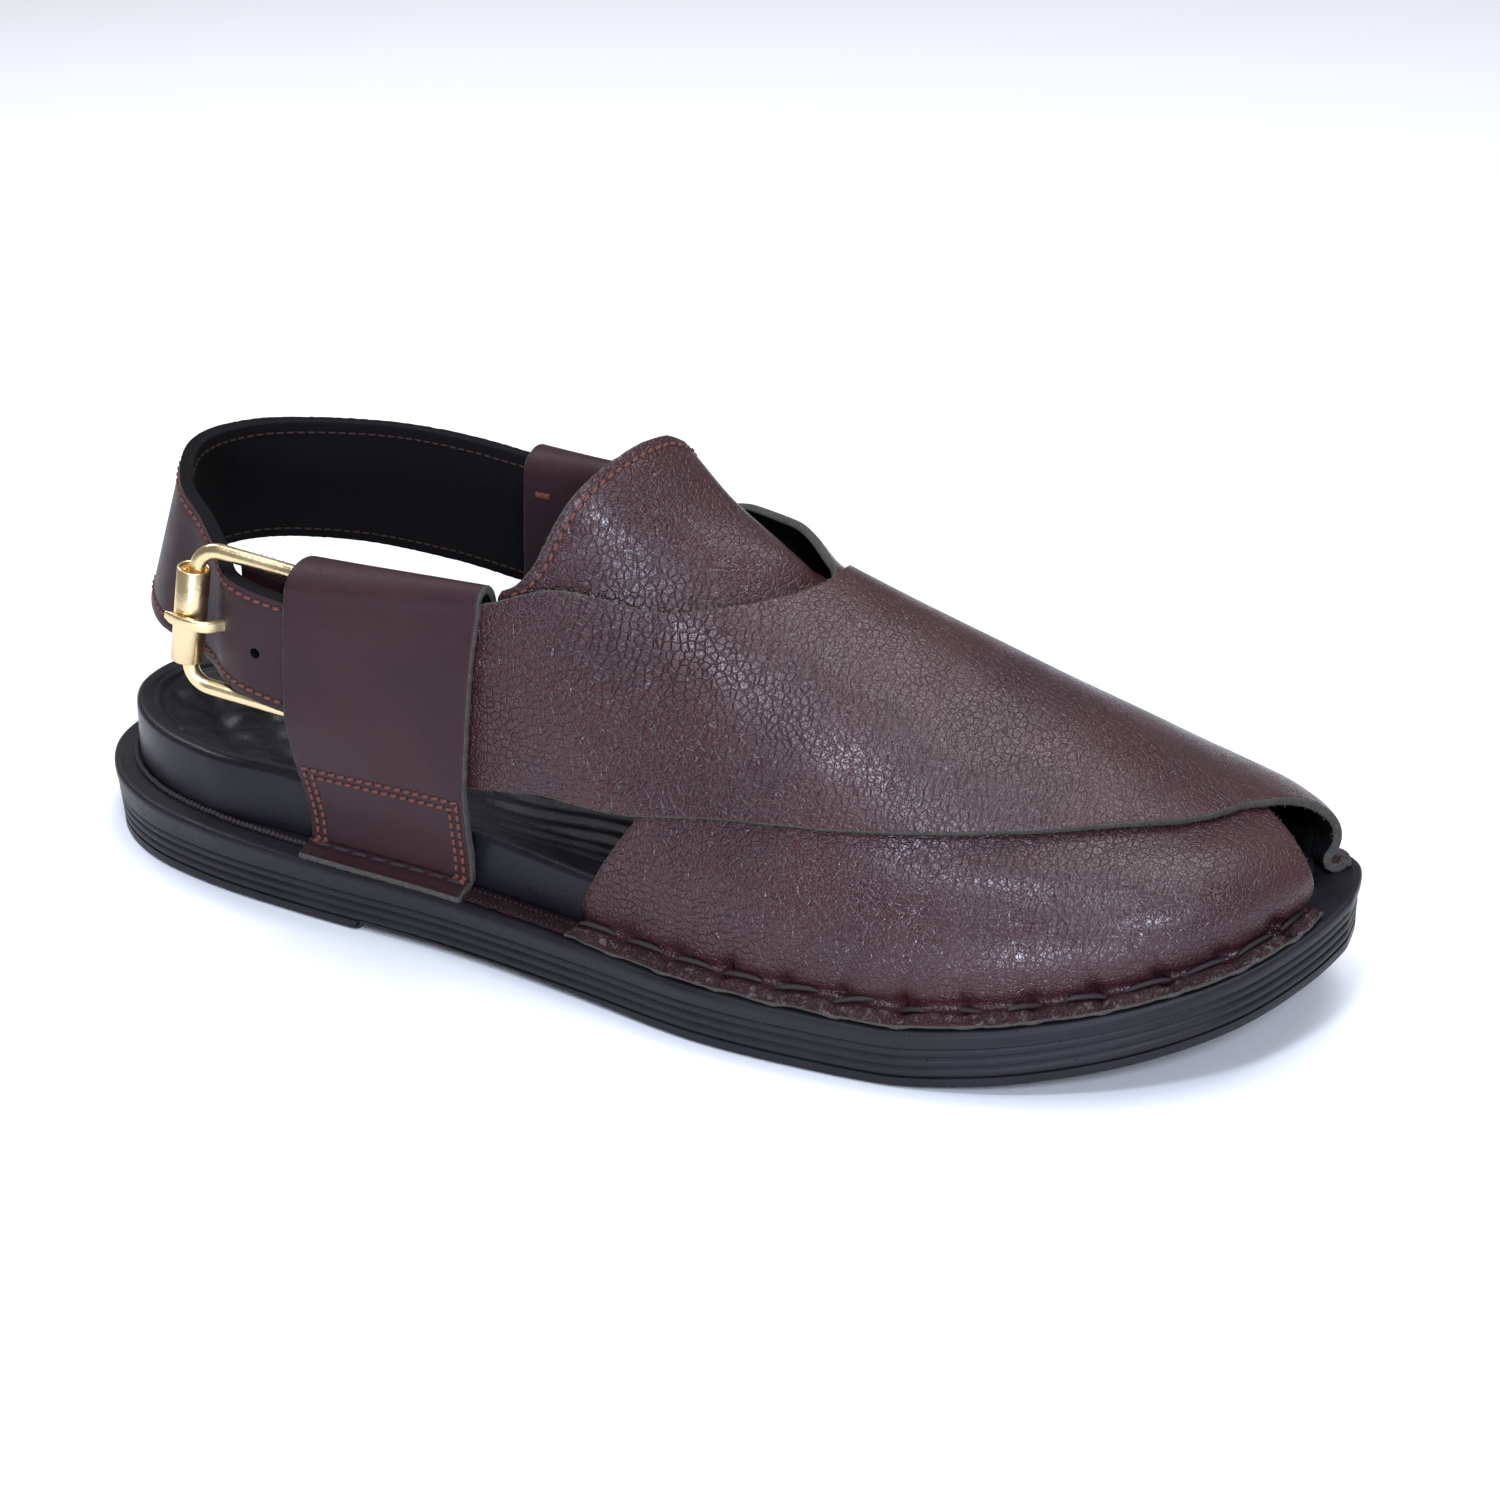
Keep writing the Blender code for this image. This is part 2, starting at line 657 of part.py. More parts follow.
def turned_out(grid, line, outward):
    """A flap's grid with its foot bent out over the ledge as a margin."""
    foot = grid[-1]
    rise = grid[-2] - foot
    rise /= np.linalg.norm(rise, axis=1)[:, None]
    out = np.column_stack([outward, np.zeros(len(outward))])
    rows = [foot + rise * FOLD_RADIUS, foot + (rise + out) * 0.3 * FOLD_RADIUS]
    for reach in (FOLD_RADIUS, MARGIN):
        plan = line + outward * reach
        height = ledge_height(along_at(plan[:, 0])) + CLEARANCE + WALL
        rows.append(np.column_stack([plan, height]))
    return np.concatenate([grid[:-1], np.array(rows)], axis=0)


def flap_outline(table):
    """Closed plan outline of a flap, without its bent foot."""
    scale = np.array([LENGTH, BALL_WIDTH])
    rear = spline(np.column_stack([column(table, 0) - 0.5, column(table, 1)]) * scale)
    front = spline(np.column_stack([column(table, 2) - 0.5, column(table, 3)]) * scale)
    return rear, front


def depth_inside(plan, outline):
    """Signed distance of plan points to a closed outline, positive inside it."""
    ahead = np.roll(outline, -1, axis=0)
    edge = ahead - outline
    away = plan[..., None, :] - outline
    share = np.clip((away * edge).sum(axis=-1) / (edge * edge).sum(axis=-1), 0.0, 1.0)
    near = np.linalg.norm(away - share[..., None] * edge, axis=-1).min(axis=-1)
    spans = (outline[:, 1] > plan[..., None, 1]) != (ahead[:, 1] > plan[..., None, 1])
    rise = np.where(edge[:, 1] == 0.0, 1e-12, edge[:, 1])
    left = away[..., 0] < away[..., 1] / rise * edge[:, 0]
    inside = (spans & left).sum(axis=-1) % 2 == 1
    return np.where(inside, near, -near)


def cover(plan, table, run):
    """How far plan points lie under a flap: 0 a run outside its edges, 1 from its edges inward."""
    rear, front = flap_outline(table)
    return smoothstep(depth_inside(plan, np.vstack([rear, front[::-1]])) / run + 1.0)


def edge_nearness(plan, edge, run):
    """1 on an edge, easing to 0 at a run from it."""
    gap = np.linalg.norm(plan[..., None, :] - edge, axis=-1).min(axis=-1)
    return smoothstep(1.0 - gap / run)


def under_flap_offset(plan):
    """How far the under flap stands off the last.

    It sinks by one wall under the top flap and a little more below that flap's lower edge, toward
    the toe. Its own rear edge stands up off the tongue on the inner side.
    """
    along = along_at(plan[..., 0])
    sunk = (WALL - SEAT) * cover(plan, TOP_FLAP, LAP_RUN)
    lower_edge = edge_nearness(plan, flap_outline(TOP_FLAP)[1], 2 * LAP_RUN)
    gap = EDGE_GAP * lower_edge * smoothstep((along - 0.50) / 0.30)
    rear_edge = edge_nearness(plan, flap_outline(UNDER_FLAP)[0], 2 * LAP_RUN)
    window = smoothstep((along - 0.475) / 0.05) * smoothstep((0.617 - along) / 0.05)
    stand = EDGE_STAND * rear_edge * window * (plan[..., 1] > 0.0)
    return stand - sunk - gap


def flap(name, table, offset, flip, material, collection):
    """One crossed flap of the vamp with its turned-out margin."""
    plan, line, outward = flap_plan(table, even_rows(table))
    grid = last_surface(plan[..., 0], plan[..., 1])
    if offset:
        grid = grid + grid_normals(grid) * offset(plan)[..., None]
    grid = turned_out(grid, line, outward)
    if flip:
        grid = grid[:, ::-1]
    return shell(name, grid, WALL, material, collection)


def upper(material, collection, tools):
    """The crossed flaps, joined into one piece where the top one lies on the under one."""
    under = flap("upper", UNDER_FLAP, under_flap_offset, False, material, collection)
    top = flap("top_flap", TOP_FLAP, None, True, material, tools)
    add_boolean(under, top, "UNION")
    return under


def tongue(material, collection):
    """Two-ply instep piece that runs down under both flaps."""
    shares = np.linspace(TONGUE_EDGE[0][0], TONGUE_EDGE[-1][0], TONGUE_COLUMNS)
    rear = monotone(shares, column(TONGUE_EDGE, 0), column(TONGUE_EDGE, 1))
    t = np.linspace(0.0, 1.0, TONGUE_ROWS)[:, None]
    along = rear[None, :] * (1 - t) + TONGUE_FRONT * t
    x, y = rib_plan(along, shares * (1.0 - TONGUE_TAPER * t))
    grid = last_surface(x, y)
    plan = np.stack([x, y], axis=-1)
    under = cover(plan, UNDER_FLAP, 1.4 * LAP_RUN)
    covered = np.maximum(cover(plan, TOP_FLAP, 1.4 * LAP_RUN), under)
    sunk = (WALL + TONGUE_GAP) * covered + (WALL - SEAT + EDGE_GAP) * under
    grid = grid - grid_normals(grid) * sunk[..., None]
    return shell("tongue", grid, TONGUE_WALL, material, collection)


def loop_grid(side, span, height, rear_bulge, inner):
    """Outer face of a folded loop: margin, wall up, fold over the top and the inner layer down."""
    x_base = np.linspace(x_at(span[0]), x_at(span[1]), LOOP_COLUMNS)
    share = np.linspace(0.0, 1.0, LOOP_COLUMNS)
    foot = feather_y(x_base, side < 0) * side
    base = ledge_height(along_at(x_base)) + CLEARANCE + WALL
    rows = []
    for k in range(MARGIN_ROWS, 0, -1):
        rows.append((x_base, foot + MARGIN * k / MARGIN_ROWS, base))
    heights = spline(np.array(LOOP_FACE), steps=2)
    for share_up, rear, front, lean in heights:
        bulge = rear * rear_bulge * (1 - share) + front * FRONT_BULGE * share
        z = base + share_up * height
        rows.append((x_base + lean * LOOP_LEAN, foot + bulge, z))
    x, wall, shoulder = rows[-1]
    middle = (wall + inner) / 2
    for k in range(1, FOLD_STEPS + 1):
        turn = math.pi * k / FOLD_STEPS
        z = shoulder + LOOP_FOLD * math.sin(turn)
        rows.append((x, middle + (wall - middle) * math.cos(turn), z))
    pocket_end = base + LOOP_POCKET_END
    for k in range(1, 6):
        down = k / 5
        lean = LOOP_LEAN * LOOP_FACE[-1][3] * (1 - down * 0.6)
        rows.append((x_base + lean, np.full(LOOP_COLUMNS, inner), shoulder * (1 - down) + pocket_end * down))
    return np.array([np.column_stack([x, side * y, z]) for x, y, z in rows])


def loop(name, side, span, height, rear_bulge, inner, material, collection):
    """A folded leather band that holds a flap's end and the heel strap's end."""
    grid = loop_grid(side, span, height, rear_bulge, inner)
    if side > 0:
        grid = grid[:, ::-1]
    return shell(name, grid[:, ::-1], WALL, material, collection)


def strap_rows():
    """Centre line of the heel strap with its mid heights and widths."""
    scale = np.array([LENGTH, BALL_WIDTH, STRAP_HEIGHT, STRAP_WIDTH, STRAP_WIDTH])
    return spline(np.array(STRAP_PATH) * scale, steps=CURVE_STEPS)


def box_solid(name, inner_low, inner_high, outer_low, outer_high, material, collection):
    """A closed strip between four long edges, with flat ends."""
    count = len(inner_low)
    vertices = np.vstack([inner_low, inner_high, outer_high, outer_low])
    faces = []
    for i in range(count - 1):
        for k in range(4):
            a = k * count + i
            b = (k + 1) % 4 * count + i
            faces.append((a, a + 1, b + 1, b))
    faces.append(tuple(k * count for k in range(4)))
    faces.append(tuple(k * count + count - 1 for k in (3, 2, 1, 0)))
    return new_object(name, vertices, faces, material, collection)


def strip(name, plan, low, high, lean, thickness, material, collection):
    """An upright strip of leather along a plan path, thick to both sides and leaning to its left."""
    tangent = np.gradient(plan, axis=0)
    tangent /= np.linalg.norm(tangent, axis=1)[:, None]
    left = np.column_stack([-tangent[:, 1], tangent[:, 0]])
    edges = []
    for side in (1, -1):
        for end, z in ((-1, low), (1, high)):
            reach = side * thickness / 2 + end * np.reshape(lean, (-1, 1)) / 2
            edges.append(np.column_stack([plan + left * reach, z]))
    return box_solid(name, edges[0], edges[1], edges[2], edges[3], material, collection)


def buckle_axes():
    """Matrix of the buckle: +X from the pivot bar to the roller, +Y up the bars, +Z outward."""
    yaw = math.radians(FRAME_YAW)
    dip = math.radians(FRAME_DIP)
    reach = Vector((-math.cos(yaw) * math.cos(dip), -math.sin(yaw) * math.cos(dip), math.sin(dip)))
    outward = Vector((math.sin(yaw), -math.cos(yaw), 0.0))
    up = outward.cross(reach)
    matrix = Matrix((reach, up, outward)).transposed().to_4x4()
    matrix.translation = Vector(PIVOT)
    return matrix


def place(item, matrix):
    """Give an object its place in the shoe."""
    item.matrix_world = matrix
    return item


def hide_tool(item):
    """Mark an object as a cutter."""
    item.hide_render = True
    item.display_type = "WIRE"


def wire_mesh(name, points, radius, cyclic, material, collection):
    """A wire: a curve with a round bevel, made a closed mesh."""
    data = bpy.data.curves.new(name, "CURVE")
    data.dimensions = "3D"
    data.bevel_depth = radius
    data.bevel_resolution = 3
    data.use_fill_caps = not cyclic
    path = data.splines.new("POLY")
    path.points.add(len(points) - 1)
    path.points.foreach_set("co", np.column_stack([points, np.ones(len(points))]).ravel())
    path.use_cyclic_u = cyclic
    curve = bpy.data.objects.new(name + "_curve", data)
    collection.objects.link(curve)
    bpy.context.view_layer.update()
    evaluated = curve.evaluated_get(bpy.context.evaluated_depsgraph_get())
    mesh = bpy.data.meshes.new_from_object(evaluated)
    bpy.data.objects.remove(curve)
    item = bpy.data.objects.new(name, mesh)
    collection.objects.link(item)
    weld = item.modifiers.new("Weld", "WELD")
    weld.merge_threshold = 1e-5
    mesh.materials.clear()
    mesh.materials.append(material)
    mesh.shade_smooth()
    return item


def buckle_frame(material, collection):
    """Rectangular wire frame with round corners, its pivot bar on the local Y axis."""
    half = FRAME_HEIGHT / 2
    points = []
    centres = (
        (FRAME_RUN - FRAME_CORNER, half - FRAME_CORNER, 0),
        (FRAME_CORNER, half - FRAME_CORNER, 90),
        (FRAME_CORNER, -half + FRAME_CORNER, 180),
        (FRAME_RUN - FRAME_CORNER, -half + FRAME_CORNER, 270),
    )
    for x, y, start in centres:
        for k in range(5):
            angle = math.radians(start + k * 22.5)
            corner = (x + FRAME_CORNER * math.cos(angle), y + FRAME_CORNER * math.sin(angle), 0.0)
            points.append(corner)
    frame = wire_mesh("buckle_frame", np.array(points), WIRE / 2, True, material, collection)
    return place(frame, buckle_axes())


def pipe_rows(outer, inner, length):
    """Closed profile of a pipe in radius and height."""
    half = length / 2
    return ((inner, half), (outer, half), (outer, -half), (inner, -half))


def pipe(name, outer, inner, length, material, collection):
    """A pipe along local Y: a closed profile turned with Screw."""
    rows = pipe_rows(outer, inner, length)
    vertices = [(radius, height, 0.0) for radius, height in rows]
    mesh = bpy.data.meshes.new(name)
    mesh.from_pydata(vertices, [(0, 1), (1, 2), (2, 3), (3, 0)], [])
    mesh.materials.append(material)
    item = bpy.data.objects.new(name, mesh)
    collection.objects.link(item)
    turn = item.modifiers.new("Turn", "SCREW")
    turn.axis = "Y"
    turn.steps = PIPE_STEPS
    turn.render_steps = PIPE_STEPS
    turn.use_merge_vertices = True
    turn.merge_threshold = 1e-6
    return item


def buckle_roller(material, collection):
    """Sheet brass roller hanging round the frame's roller bar."""
    inner = ROLLER_DIAMETER / 2 - ROLLER_WALL
    slack = inner - WIRE / 2 - CLEARANCE
    roller = pipe("buckle_roller", ROLLER_DIAMETER / 2, inner, ROLLER_LENGTH, material, collection)
    return place(roller, buckle_axes() @ Matrix.Translation((FRAME_RUN + slack, 0.0, 0.0)))


def prong_bar(name, extra, material, collection):
    """The prong's bent bar, or the slot that it needs when it has an extra on every side."""
    points = np.array(PRONG_PATH) * np.array([FRAME_RUN, ROLLER_DIAMETER])
    path = spline(points, steps=CURVE_STEPS)
    tangent = np.gradient(path, axis=0)
    tangent /= np.linalg.norm(tangent, axis=1)[:, None]
    across = np.column_stack([-tangent[:, 1], tangent[:, 0]]) * (PRONG_THICKNESS / 2 + extra)
    half = PRONG_WIDTH / 2 + extra
    edges = []
    for side in (-1, 1):
        for y in (-half, half):
            edge = path + side * across
            edges.append(np.column_stack([edge[:, 0], np.full(len(edge), y), edge[:, 1]]))
    bar = box_solid(name, edges[0], edges[1], edges[2], edges[3], material, collection)
    return place(bar, buckle_axes())


def add_boolean(item, tool, operation):
    """Cut or join an object with another."""
    modifier = item.modifiers.new(operation.title(), "BOOLEAN")
    modifier.operation = operation
    modifier.solver = "EXACT"
    modifier.object = tool
    hide_tool(tool)


def rod(name, radius, length, steps, material, collection):
    """A closed cylinder along local Y."""
    mesh = bpy.data.meshes.new(name)
    bm = bmesh.new()
    turn = Matrix.Rotation(math.radians(-90.0), 4, "X")
    bmesh.ops.create_cone(
        bm,
        cap_ends=True,
        segments=steps,
        radius1=radius,
        radius2=radius,
        depth=length,
        matrix=turn,
    )
    bm.to_mesh(mesh)
    bm.free()
    mesh.materials.append(material)
    item = bpy.data.objects.new(name, mesh)
    collection.objects.link(item)
    return item


def buckle_prong(material, collection, tools):
    """Prong: an eye round the pivot bar and a bent bar through the strap and over the roller."""
    eye_inner = WIRE / 2 + CLEARANCE
    bar = prong_bar("buckle_prong", 0.0, material, collection)
    eye = pipe("prong_eye", eye_inner + SLEEVE_WALL, eye_inner, 0.9 * PRONG_WIDTH, material, tools)
    place(eye, buckle_axes())
    add_boolean(bar, eye, "UNION")
    return bar


def buckle_chape(material, collection, tools):
    """Turned-back strap end: a guard behind the frame and a sleeve round the pivot bar."""
    scale = np.array([LENGTH, WIRE, FRAME_HEIGHT, FRAME_HEIGHT])
    rows = spline(np.array(CHAPE_PATH) * scale, steps=CURVE_STEPS)
    plan = np.column_stack([rows[:, 0], PIVOT[1] + rows[:, 1]])
    low = PIVOT[2] + rows[:, 2]
    high = PIVOT[2] + rows[:, 3]
    chape = strip("buckle_chape", plan, low, high, np.zeros(len(rows)), CHAPE_WALL, material, collection)
    bore = WIRE / 2 + CLEARANCE
    sleeve = rod("chape_sleeve", bore + SLEEVE_WALL, SLEEVE_LENGTH, PIPE_STEPS, material, tools)
    add_boolean(chape, place(sleeve, buckle_axes()), "UNION")
    hole = rod("chape_bore", bore, 2 * FRAME_HEIGHT, PIPE_STEPS, material, tools)
    add_boolean(chape, place(hole, buckle_axes()), "DIFFERENCE")
    gap = bore + SLEEVE_WALL + 2 * CLEARANCE
    notch = rod("chape_notch", gap, PRONG_WIDTH + 2 * CLEARANCE, PIPE_STEPS, material, tools)
    add_boolean(chape, place(notch, buckle_axes()), "DIFFERENCE")
    return chape


def heel_strap(material, collection, tools):
    """Strap round the heel with the prong's slot and one spare hole."""
    rows = strap_rows()
    low = rows[:, 2] - rows[:, 3] / 2
    high = rows[:, 2] + rows[:, 3] / 2
    strap = strip("heel_strap", rows[:, :2], low, high, -rows[:, 4], STRAP_WALL, material, collection)
    slot = prong_bar("prong_slot", CLEARANCE, material, tools)
    add_boolean(strap, slot, "DIFFERENCE")
    x = SPARE_HOLE_ALONG * LENGTH
    y = np.interp(-x, -rows[:, 0][rows[:, 1] < 0], rows[:, 1][rows[:, 1] < 0])
    z = np.interp(-x, -rows[:, 0][rows[:, 1] < 0], rows[:, 2][rows[:, 1] < 0])
    hole = rod("spare_hole", SPARE_HOLE / 2, 4 * STRAP_WALL, 10, material, tools)
    hole.location = (x, y, z - SPARE_HOLE_DROP)
    add_boolean(strap, hole, "DIFFERENCE")
    return strap


def main():
    """Build every piece of the shoe."""
    for item in list(bpy.data.objects):
        bpy.data.objects.remove(item, do_unlink=True)
    pieces = new_collection("peshawari_chappal")
    tools = new_collection("cutters")
    rubber = new_material("black_sole", (0.018, 0.017, 0.021), 0.45)
    footbed = new_material("black_footbed", (0.014, 0.013, 0.016), 0.32)
    leather = new_material("brown_leather", (0.075, 0.036, 0.034), 0.42)
    brass = new_material("brass", (0.80, 0.58, 0.27), 0.22, 1.0)
    outsole(rubber, pieces)
    insole(footbed, pieces)
    upper(leather, pieces, tools)
    tongue(leather, pieces)
    lateral = (LATERAL_LOOP_SPAN, LATERAL_LOOP_HEIGHT, LATERAL_BULGE, LATERAL_LOOP_INNER)
    medial = (MEDIAL_LOOP_SPAN, MEDIAL_LOOP_HEIGHT, MEDIAL_BULGE, MEDIAL_LOOP_INNER)
    loop("lateral_loop", -1, *lateral, leather, pieces)
    loop("medial_loop", 1, *medial, leather, pieces)
    heel_strap(leather, pieces, tools)
    buckle_chape(leather, pieces, tools)
    buckle_frame(brass, pieces)
    buckle_roller(brass, pieces)
    buckle_prong(brass, pieces, tools)


main()
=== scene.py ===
"""Finished look of a right-foot peshawari chappal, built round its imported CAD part.

+X runs from heel to toe, +Y to the inner side and +Z up, in metres. The outer side, with the buckle,
is at -Y. The file is laid out as an add-on: sizes and colours are properties, each piece is an
operator, and a panel lists them.
"""
import math

import bmesh
import bpy
import numpy as np
from mathutils import Matrix, Vector


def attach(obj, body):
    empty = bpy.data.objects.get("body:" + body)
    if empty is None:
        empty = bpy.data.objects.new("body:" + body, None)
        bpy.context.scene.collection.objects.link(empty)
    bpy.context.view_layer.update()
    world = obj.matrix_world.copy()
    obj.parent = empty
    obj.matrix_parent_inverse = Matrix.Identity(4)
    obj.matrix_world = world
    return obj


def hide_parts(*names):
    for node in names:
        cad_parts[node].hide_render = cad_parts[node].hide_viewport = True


bl_info = {
    "name": "Peshawari chappal looks",
    "version": (1, 0, 0),
    "blender": (4, 5, 0),
    "location": "View3D > Sidebar > Chappal",
    "description": "Leather, sole, buckle and studio of a peshawari chappal",
    "category": "Object",
}

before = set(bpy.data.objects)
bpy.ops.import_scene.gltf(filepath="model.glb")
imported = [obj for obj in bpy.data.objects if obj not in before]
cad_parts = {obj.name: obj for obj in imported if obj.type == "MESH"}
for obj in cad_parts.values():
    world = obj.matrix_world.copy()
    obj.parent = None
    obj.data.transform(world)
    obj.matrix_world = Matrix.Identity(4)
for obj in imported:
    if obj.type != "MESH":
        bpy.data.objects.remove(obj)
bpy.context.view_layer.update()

# Edges sharper than this are shaded as edges
SHARP_ANGLE = math.radians(62.0)

# Sole
LENGTH = 0.288
BALL_WIDTH = 0.1056
SOLE_THICKNESS = 0.0163
TOE_SPRING = 0.0155
SHANK_LIFT = 0.0022
HEEL_BREAST_ALONG = 0.300
BREAST_RUN = 0.0012
FLANGE_STEP = 0.0062
LIP_HEIGHT = 0.0042
SIDE_DRAFT = 0.0008
EDGE_CHAMFER = 0.0007

# Footbed
FOOTBED_HEIGHT = 0.0143
FOOTBED_RIM = 0.0046
FOOTBED_GAP = 0.0008
CUP_DEPTH = 0.0068

# Last and leather
INSTEP_HEIGHT = 0.0911
POLE_ALONG = 0.925
FOLD_RADIUS = 0.0016
EDGE_GAP = 0.0012
EDGE_STAND = 0.0032
LAP_RUN = 0.0070
SEAT = 0.0008
CLEARANCE = 0.0003
TONGUE_GAP = 0.0007
TONGUE_FRONT = 0.70
TONGUE_TAPER = 0.22

# Loops
LOOP_FOLD = 0.0050
FRONT_BULGE = 0.0034
LOOP_POCKET_END = 0.0215
LOOP_LEAN = 0.0062

# Heel strap
STRAP_WIDTH = 0.0320
STRAP_HEIGHT = 0.0720
SPARE_HOLE_ALONG = -0.264
SPARE_HOLE_DROP = 0.0015

# Buckle
FRAME_RUN = 0.0266
FRAME_HEIGHT = 0.0320
FRAME_CORNER = 0.0050
ROLLER_WALL = 0.0007
SLEEVE_WALL = 0.0013
SLEEVE_LENGTH = 0.0200
PIVOT = (-0.0670, -0.0333, 0.06156)
FRAME_YAW = 10.0
FRAME_DIP = 11.5

# Stitches, grooves and fibres
SEAM_TILT = 0.10
SEAM_GROOVE = 0.0007
NEEDLE_HOLE_LENGTH = 0.00075
NEEDLE_HOLE_RADIUS = 0.00030
KNOT_LENGTH = 0.0021
KNOT_RADIUS = 0.00050
SOLE_STITCH_SHARE = 0.72  # of its pitch
SOLE_STITCH_RADIUS = 0.00058
SOLE_STITCH_LIFT = 0.00045
FOOT_STITCH_PITCH = 0.0047
FOOT_STITCH_LENGTH = 0.0038
FOOT_STITCH_RADIUS = 0.00045
HEEL_SEAM_PITCH = 0.00125
HEEL_SEAM_LENGTH = 0.0012
HEEL_SEAM_RADIUS = 0.00062
HEEL_SEAM_TILT = 0.55
PINHOLE_PITCH = 0.00135
PINHOLE_LENGTH = 0.00050
PINHOLE_RADIUS = 0.00017
PUCKER_DEPTH = 0.0023
FLAP_FIBRES = 900
FLAP_FIBRE_LENGTH = 0.0015
FLAP_FIBRE_RADIUS = 0.00006
GUARD_FIBRES = 420
GUARD_FIBRE_LENGTH = 0.0017
GUARD_FIBRE_RADIUS = 0.00007

# Moulded patterns
TREAD_PITCH = 0.0066
TREAD_DEPTH = 0.0016
TREAD_BORDER = 0.0065
TREAD_WAVE = 0.0022
TREAD_WAVE_PITCH = 0.022
RIM_GROOVE_WIDTH = 0.00050
RIM_GROOVES = ((0.0024, 0.00065), (0.0044, 0.00060))  # distance inside the rim, depth
RIDGE_PITCH = 0.0052
RIDGE_HEIGHT = 0.00055
PAD_PITCH = 0.0150
PAD_HEIGHT = 0.0015

# Camera
CAMERA_ANGLES = (27.9, 26.1, -2.14)  # azimuth, elevation and roll in degrees
CAMERA_DISTANCE = 0.628
CAMERA_AIM_HEIGHT = 0.045
CAMERA_SHIFT = (0.0158, -0.0082)  # right and up, in the picture's plane
CAMERA_LENS = 72.0  # millimetres, on a sensor 36 mm wide
WORLD_STRENGTH = 0.26
FLOOR_HALF = 8.0

WHITE_LIGHT = (0.94, 0.96, 1.0)
COOL_LIGHT = (0.74, 0.82, 1.0)

SOFTBOXES = (
    # name, place, aim, size in metres, power in watts, colour
    ("top_softbox", (0.15, 0.28, 1.30), (0.02, 0.0, 0.03), 0.90, 13.5, WHITE_LIGHT),
    ("vamp_softbox", (0.13, -0.60, 1.10), (0.02, 0.0, 0.06), 0.22, 6.4, COOL_LIGHT),
    ("camera_softbox", (0.58, -0.70, 0.66), (0.0, 0.0, 0.08), 0.20, 6.2, COOL_LIGHT),
    ("back_softbox", (-0.80, 0.30, 0.86), (0.02, 0.0, 0.05), 0.40, 3.6, WHITE_LIGHT),
    ("low_softbox", (0.38, -0.96, 0.13), (0.09, 0.0, 0.03), 0.14, 5.5, COOL_LIGHT),
)

LEATHERS = (
    # name, tint of the leather's colour, grain scale, pebbles off and on the spots, relief depth,
    # roughness, specular level, scuff
    ("pebbled_leather", (1.0, 1.0, 1.0), 620.0, (0.50, 1.0), 0.00020, 0.26, 0.42, 0.0),
    ("smooth_leather", (0.80, 1.02, 1.05), 1000.0, (0.12, 0.12), 0.00007, 0.42, 0.18, 0.0),
    ("welt_leather", (0.42, 0.42, 0.42), 1000.0, (0.4, 0.4), 0.0002, 0.5, 0.2, 0.0),
    ("scuffed_leather", (0.74, 0.74, 0.74), 1100.0, (0.6, 0.6), 0.0003, 0.42, 0.3, 0.34),
)

PEBBLE_SPOTS = (
    # x, y, z and radius of the places where the grain is strongest
    (-0.004, -0.024, 0.074, 0.046),
    (0.022, -0.040, 0.050, 0.050),
    (-0.004, 0.030, 0.074, 0.050),
)

SOLE_OUTLINE = (
    # along, lateral, medial (shares of LENGTH, BALL_WIDTH, BALL_WIDTH)
    (0.000, 0.068, 0.084),
    (0.030, 0.199, 0.203),
    (0.080, 0.292, 0.286),
    (0.150, 0.348, 0.328),
    (0.250, 0.381, 0.331),
    (0.380, 0.403, 0.327),
    (0.500, 0.449, 0.369),
    (0.600, 0.493, 0.436),
    (0.680, 0.497, 0.488),
    (0.760, 0.479, 0.502),
    (0.840, 0.420, 0.483),
    (0.910, 0.324, 0.422),
    (0.960, 0.203, 0.334),
    (0.990, 0.045, 0.236),
    (1.000, -0.076, 0.102),
)

LIP_PROFILE = (
    # inset, drop under the ledge (shares of LIP_HEIGHT)
    (0.10, 0.62),
    (0.04, 0.55),
    (0.02, 0.30),
    (0.04, 0.14),
    (0.12, 0.04),
    (0.20, 0.00),
    (0.40, 0.01),
)

SOLE_PROFILE = (
    # along, thickness, spring, shank lift, footbed height, cup depth
    (0.000, 1.000, 0.000, 0.00, 1.00, 0.80),
    (0.100, 0.939, 0.000, 0.00, 1.00, 1.00),
    (0.300, 0.870, 0.000, 1.00, 0.96, 0.90),
    (0.450, 0.830, 0.000, 0.60, 0.80, 0.62),
    (0.620, 0.792, 0.000, 0.00, 0.62, 0.45),
    (0.740, 0.785, 0.000, 0.00, 0.50, 0.38),
    (0.800, 0.790, 0.100, 0.00, 0.44, 0.34),
    (0.880, 0.780, 0.360, 0.00, 0.36, 0.26),
    (0.950, 0.760, 0.690, 0.00, 0.30, 0.18),
    (1.000, 0.740, 1.000, 0.00, 0.27, 0.12),
)

LAST_SECTIONS = (
    # along, ridge height, ridge offset, wall handle, crown handle, bulge
    (0.240, 1.520, 0.000, 0.75, 0.70, 0.020),
    (0.360, 1.370, 0.000, 0.72, 0.68, 0.022),
    (0.450, 1.265, 0.020, 0.62, 0.60, 0.022),
    (0.550, 0.995, 0.050, 0.52, 0.50, 0.022),
    (0.650, 0.848, 0.056, 0.46, 0.46, 0.025),
    (0.750, 0.721, 0.067, 0.46, 0.46, 0.028),
    (0.850, 0.598, 0.076, 0.50, 0.50, 0.034),
    (0.920, 0.508, 0.085, 0.54, 0.68, 0.068),
    (1.000, 0.462, 0.090, 0.54, 0.78, 0.125),
)

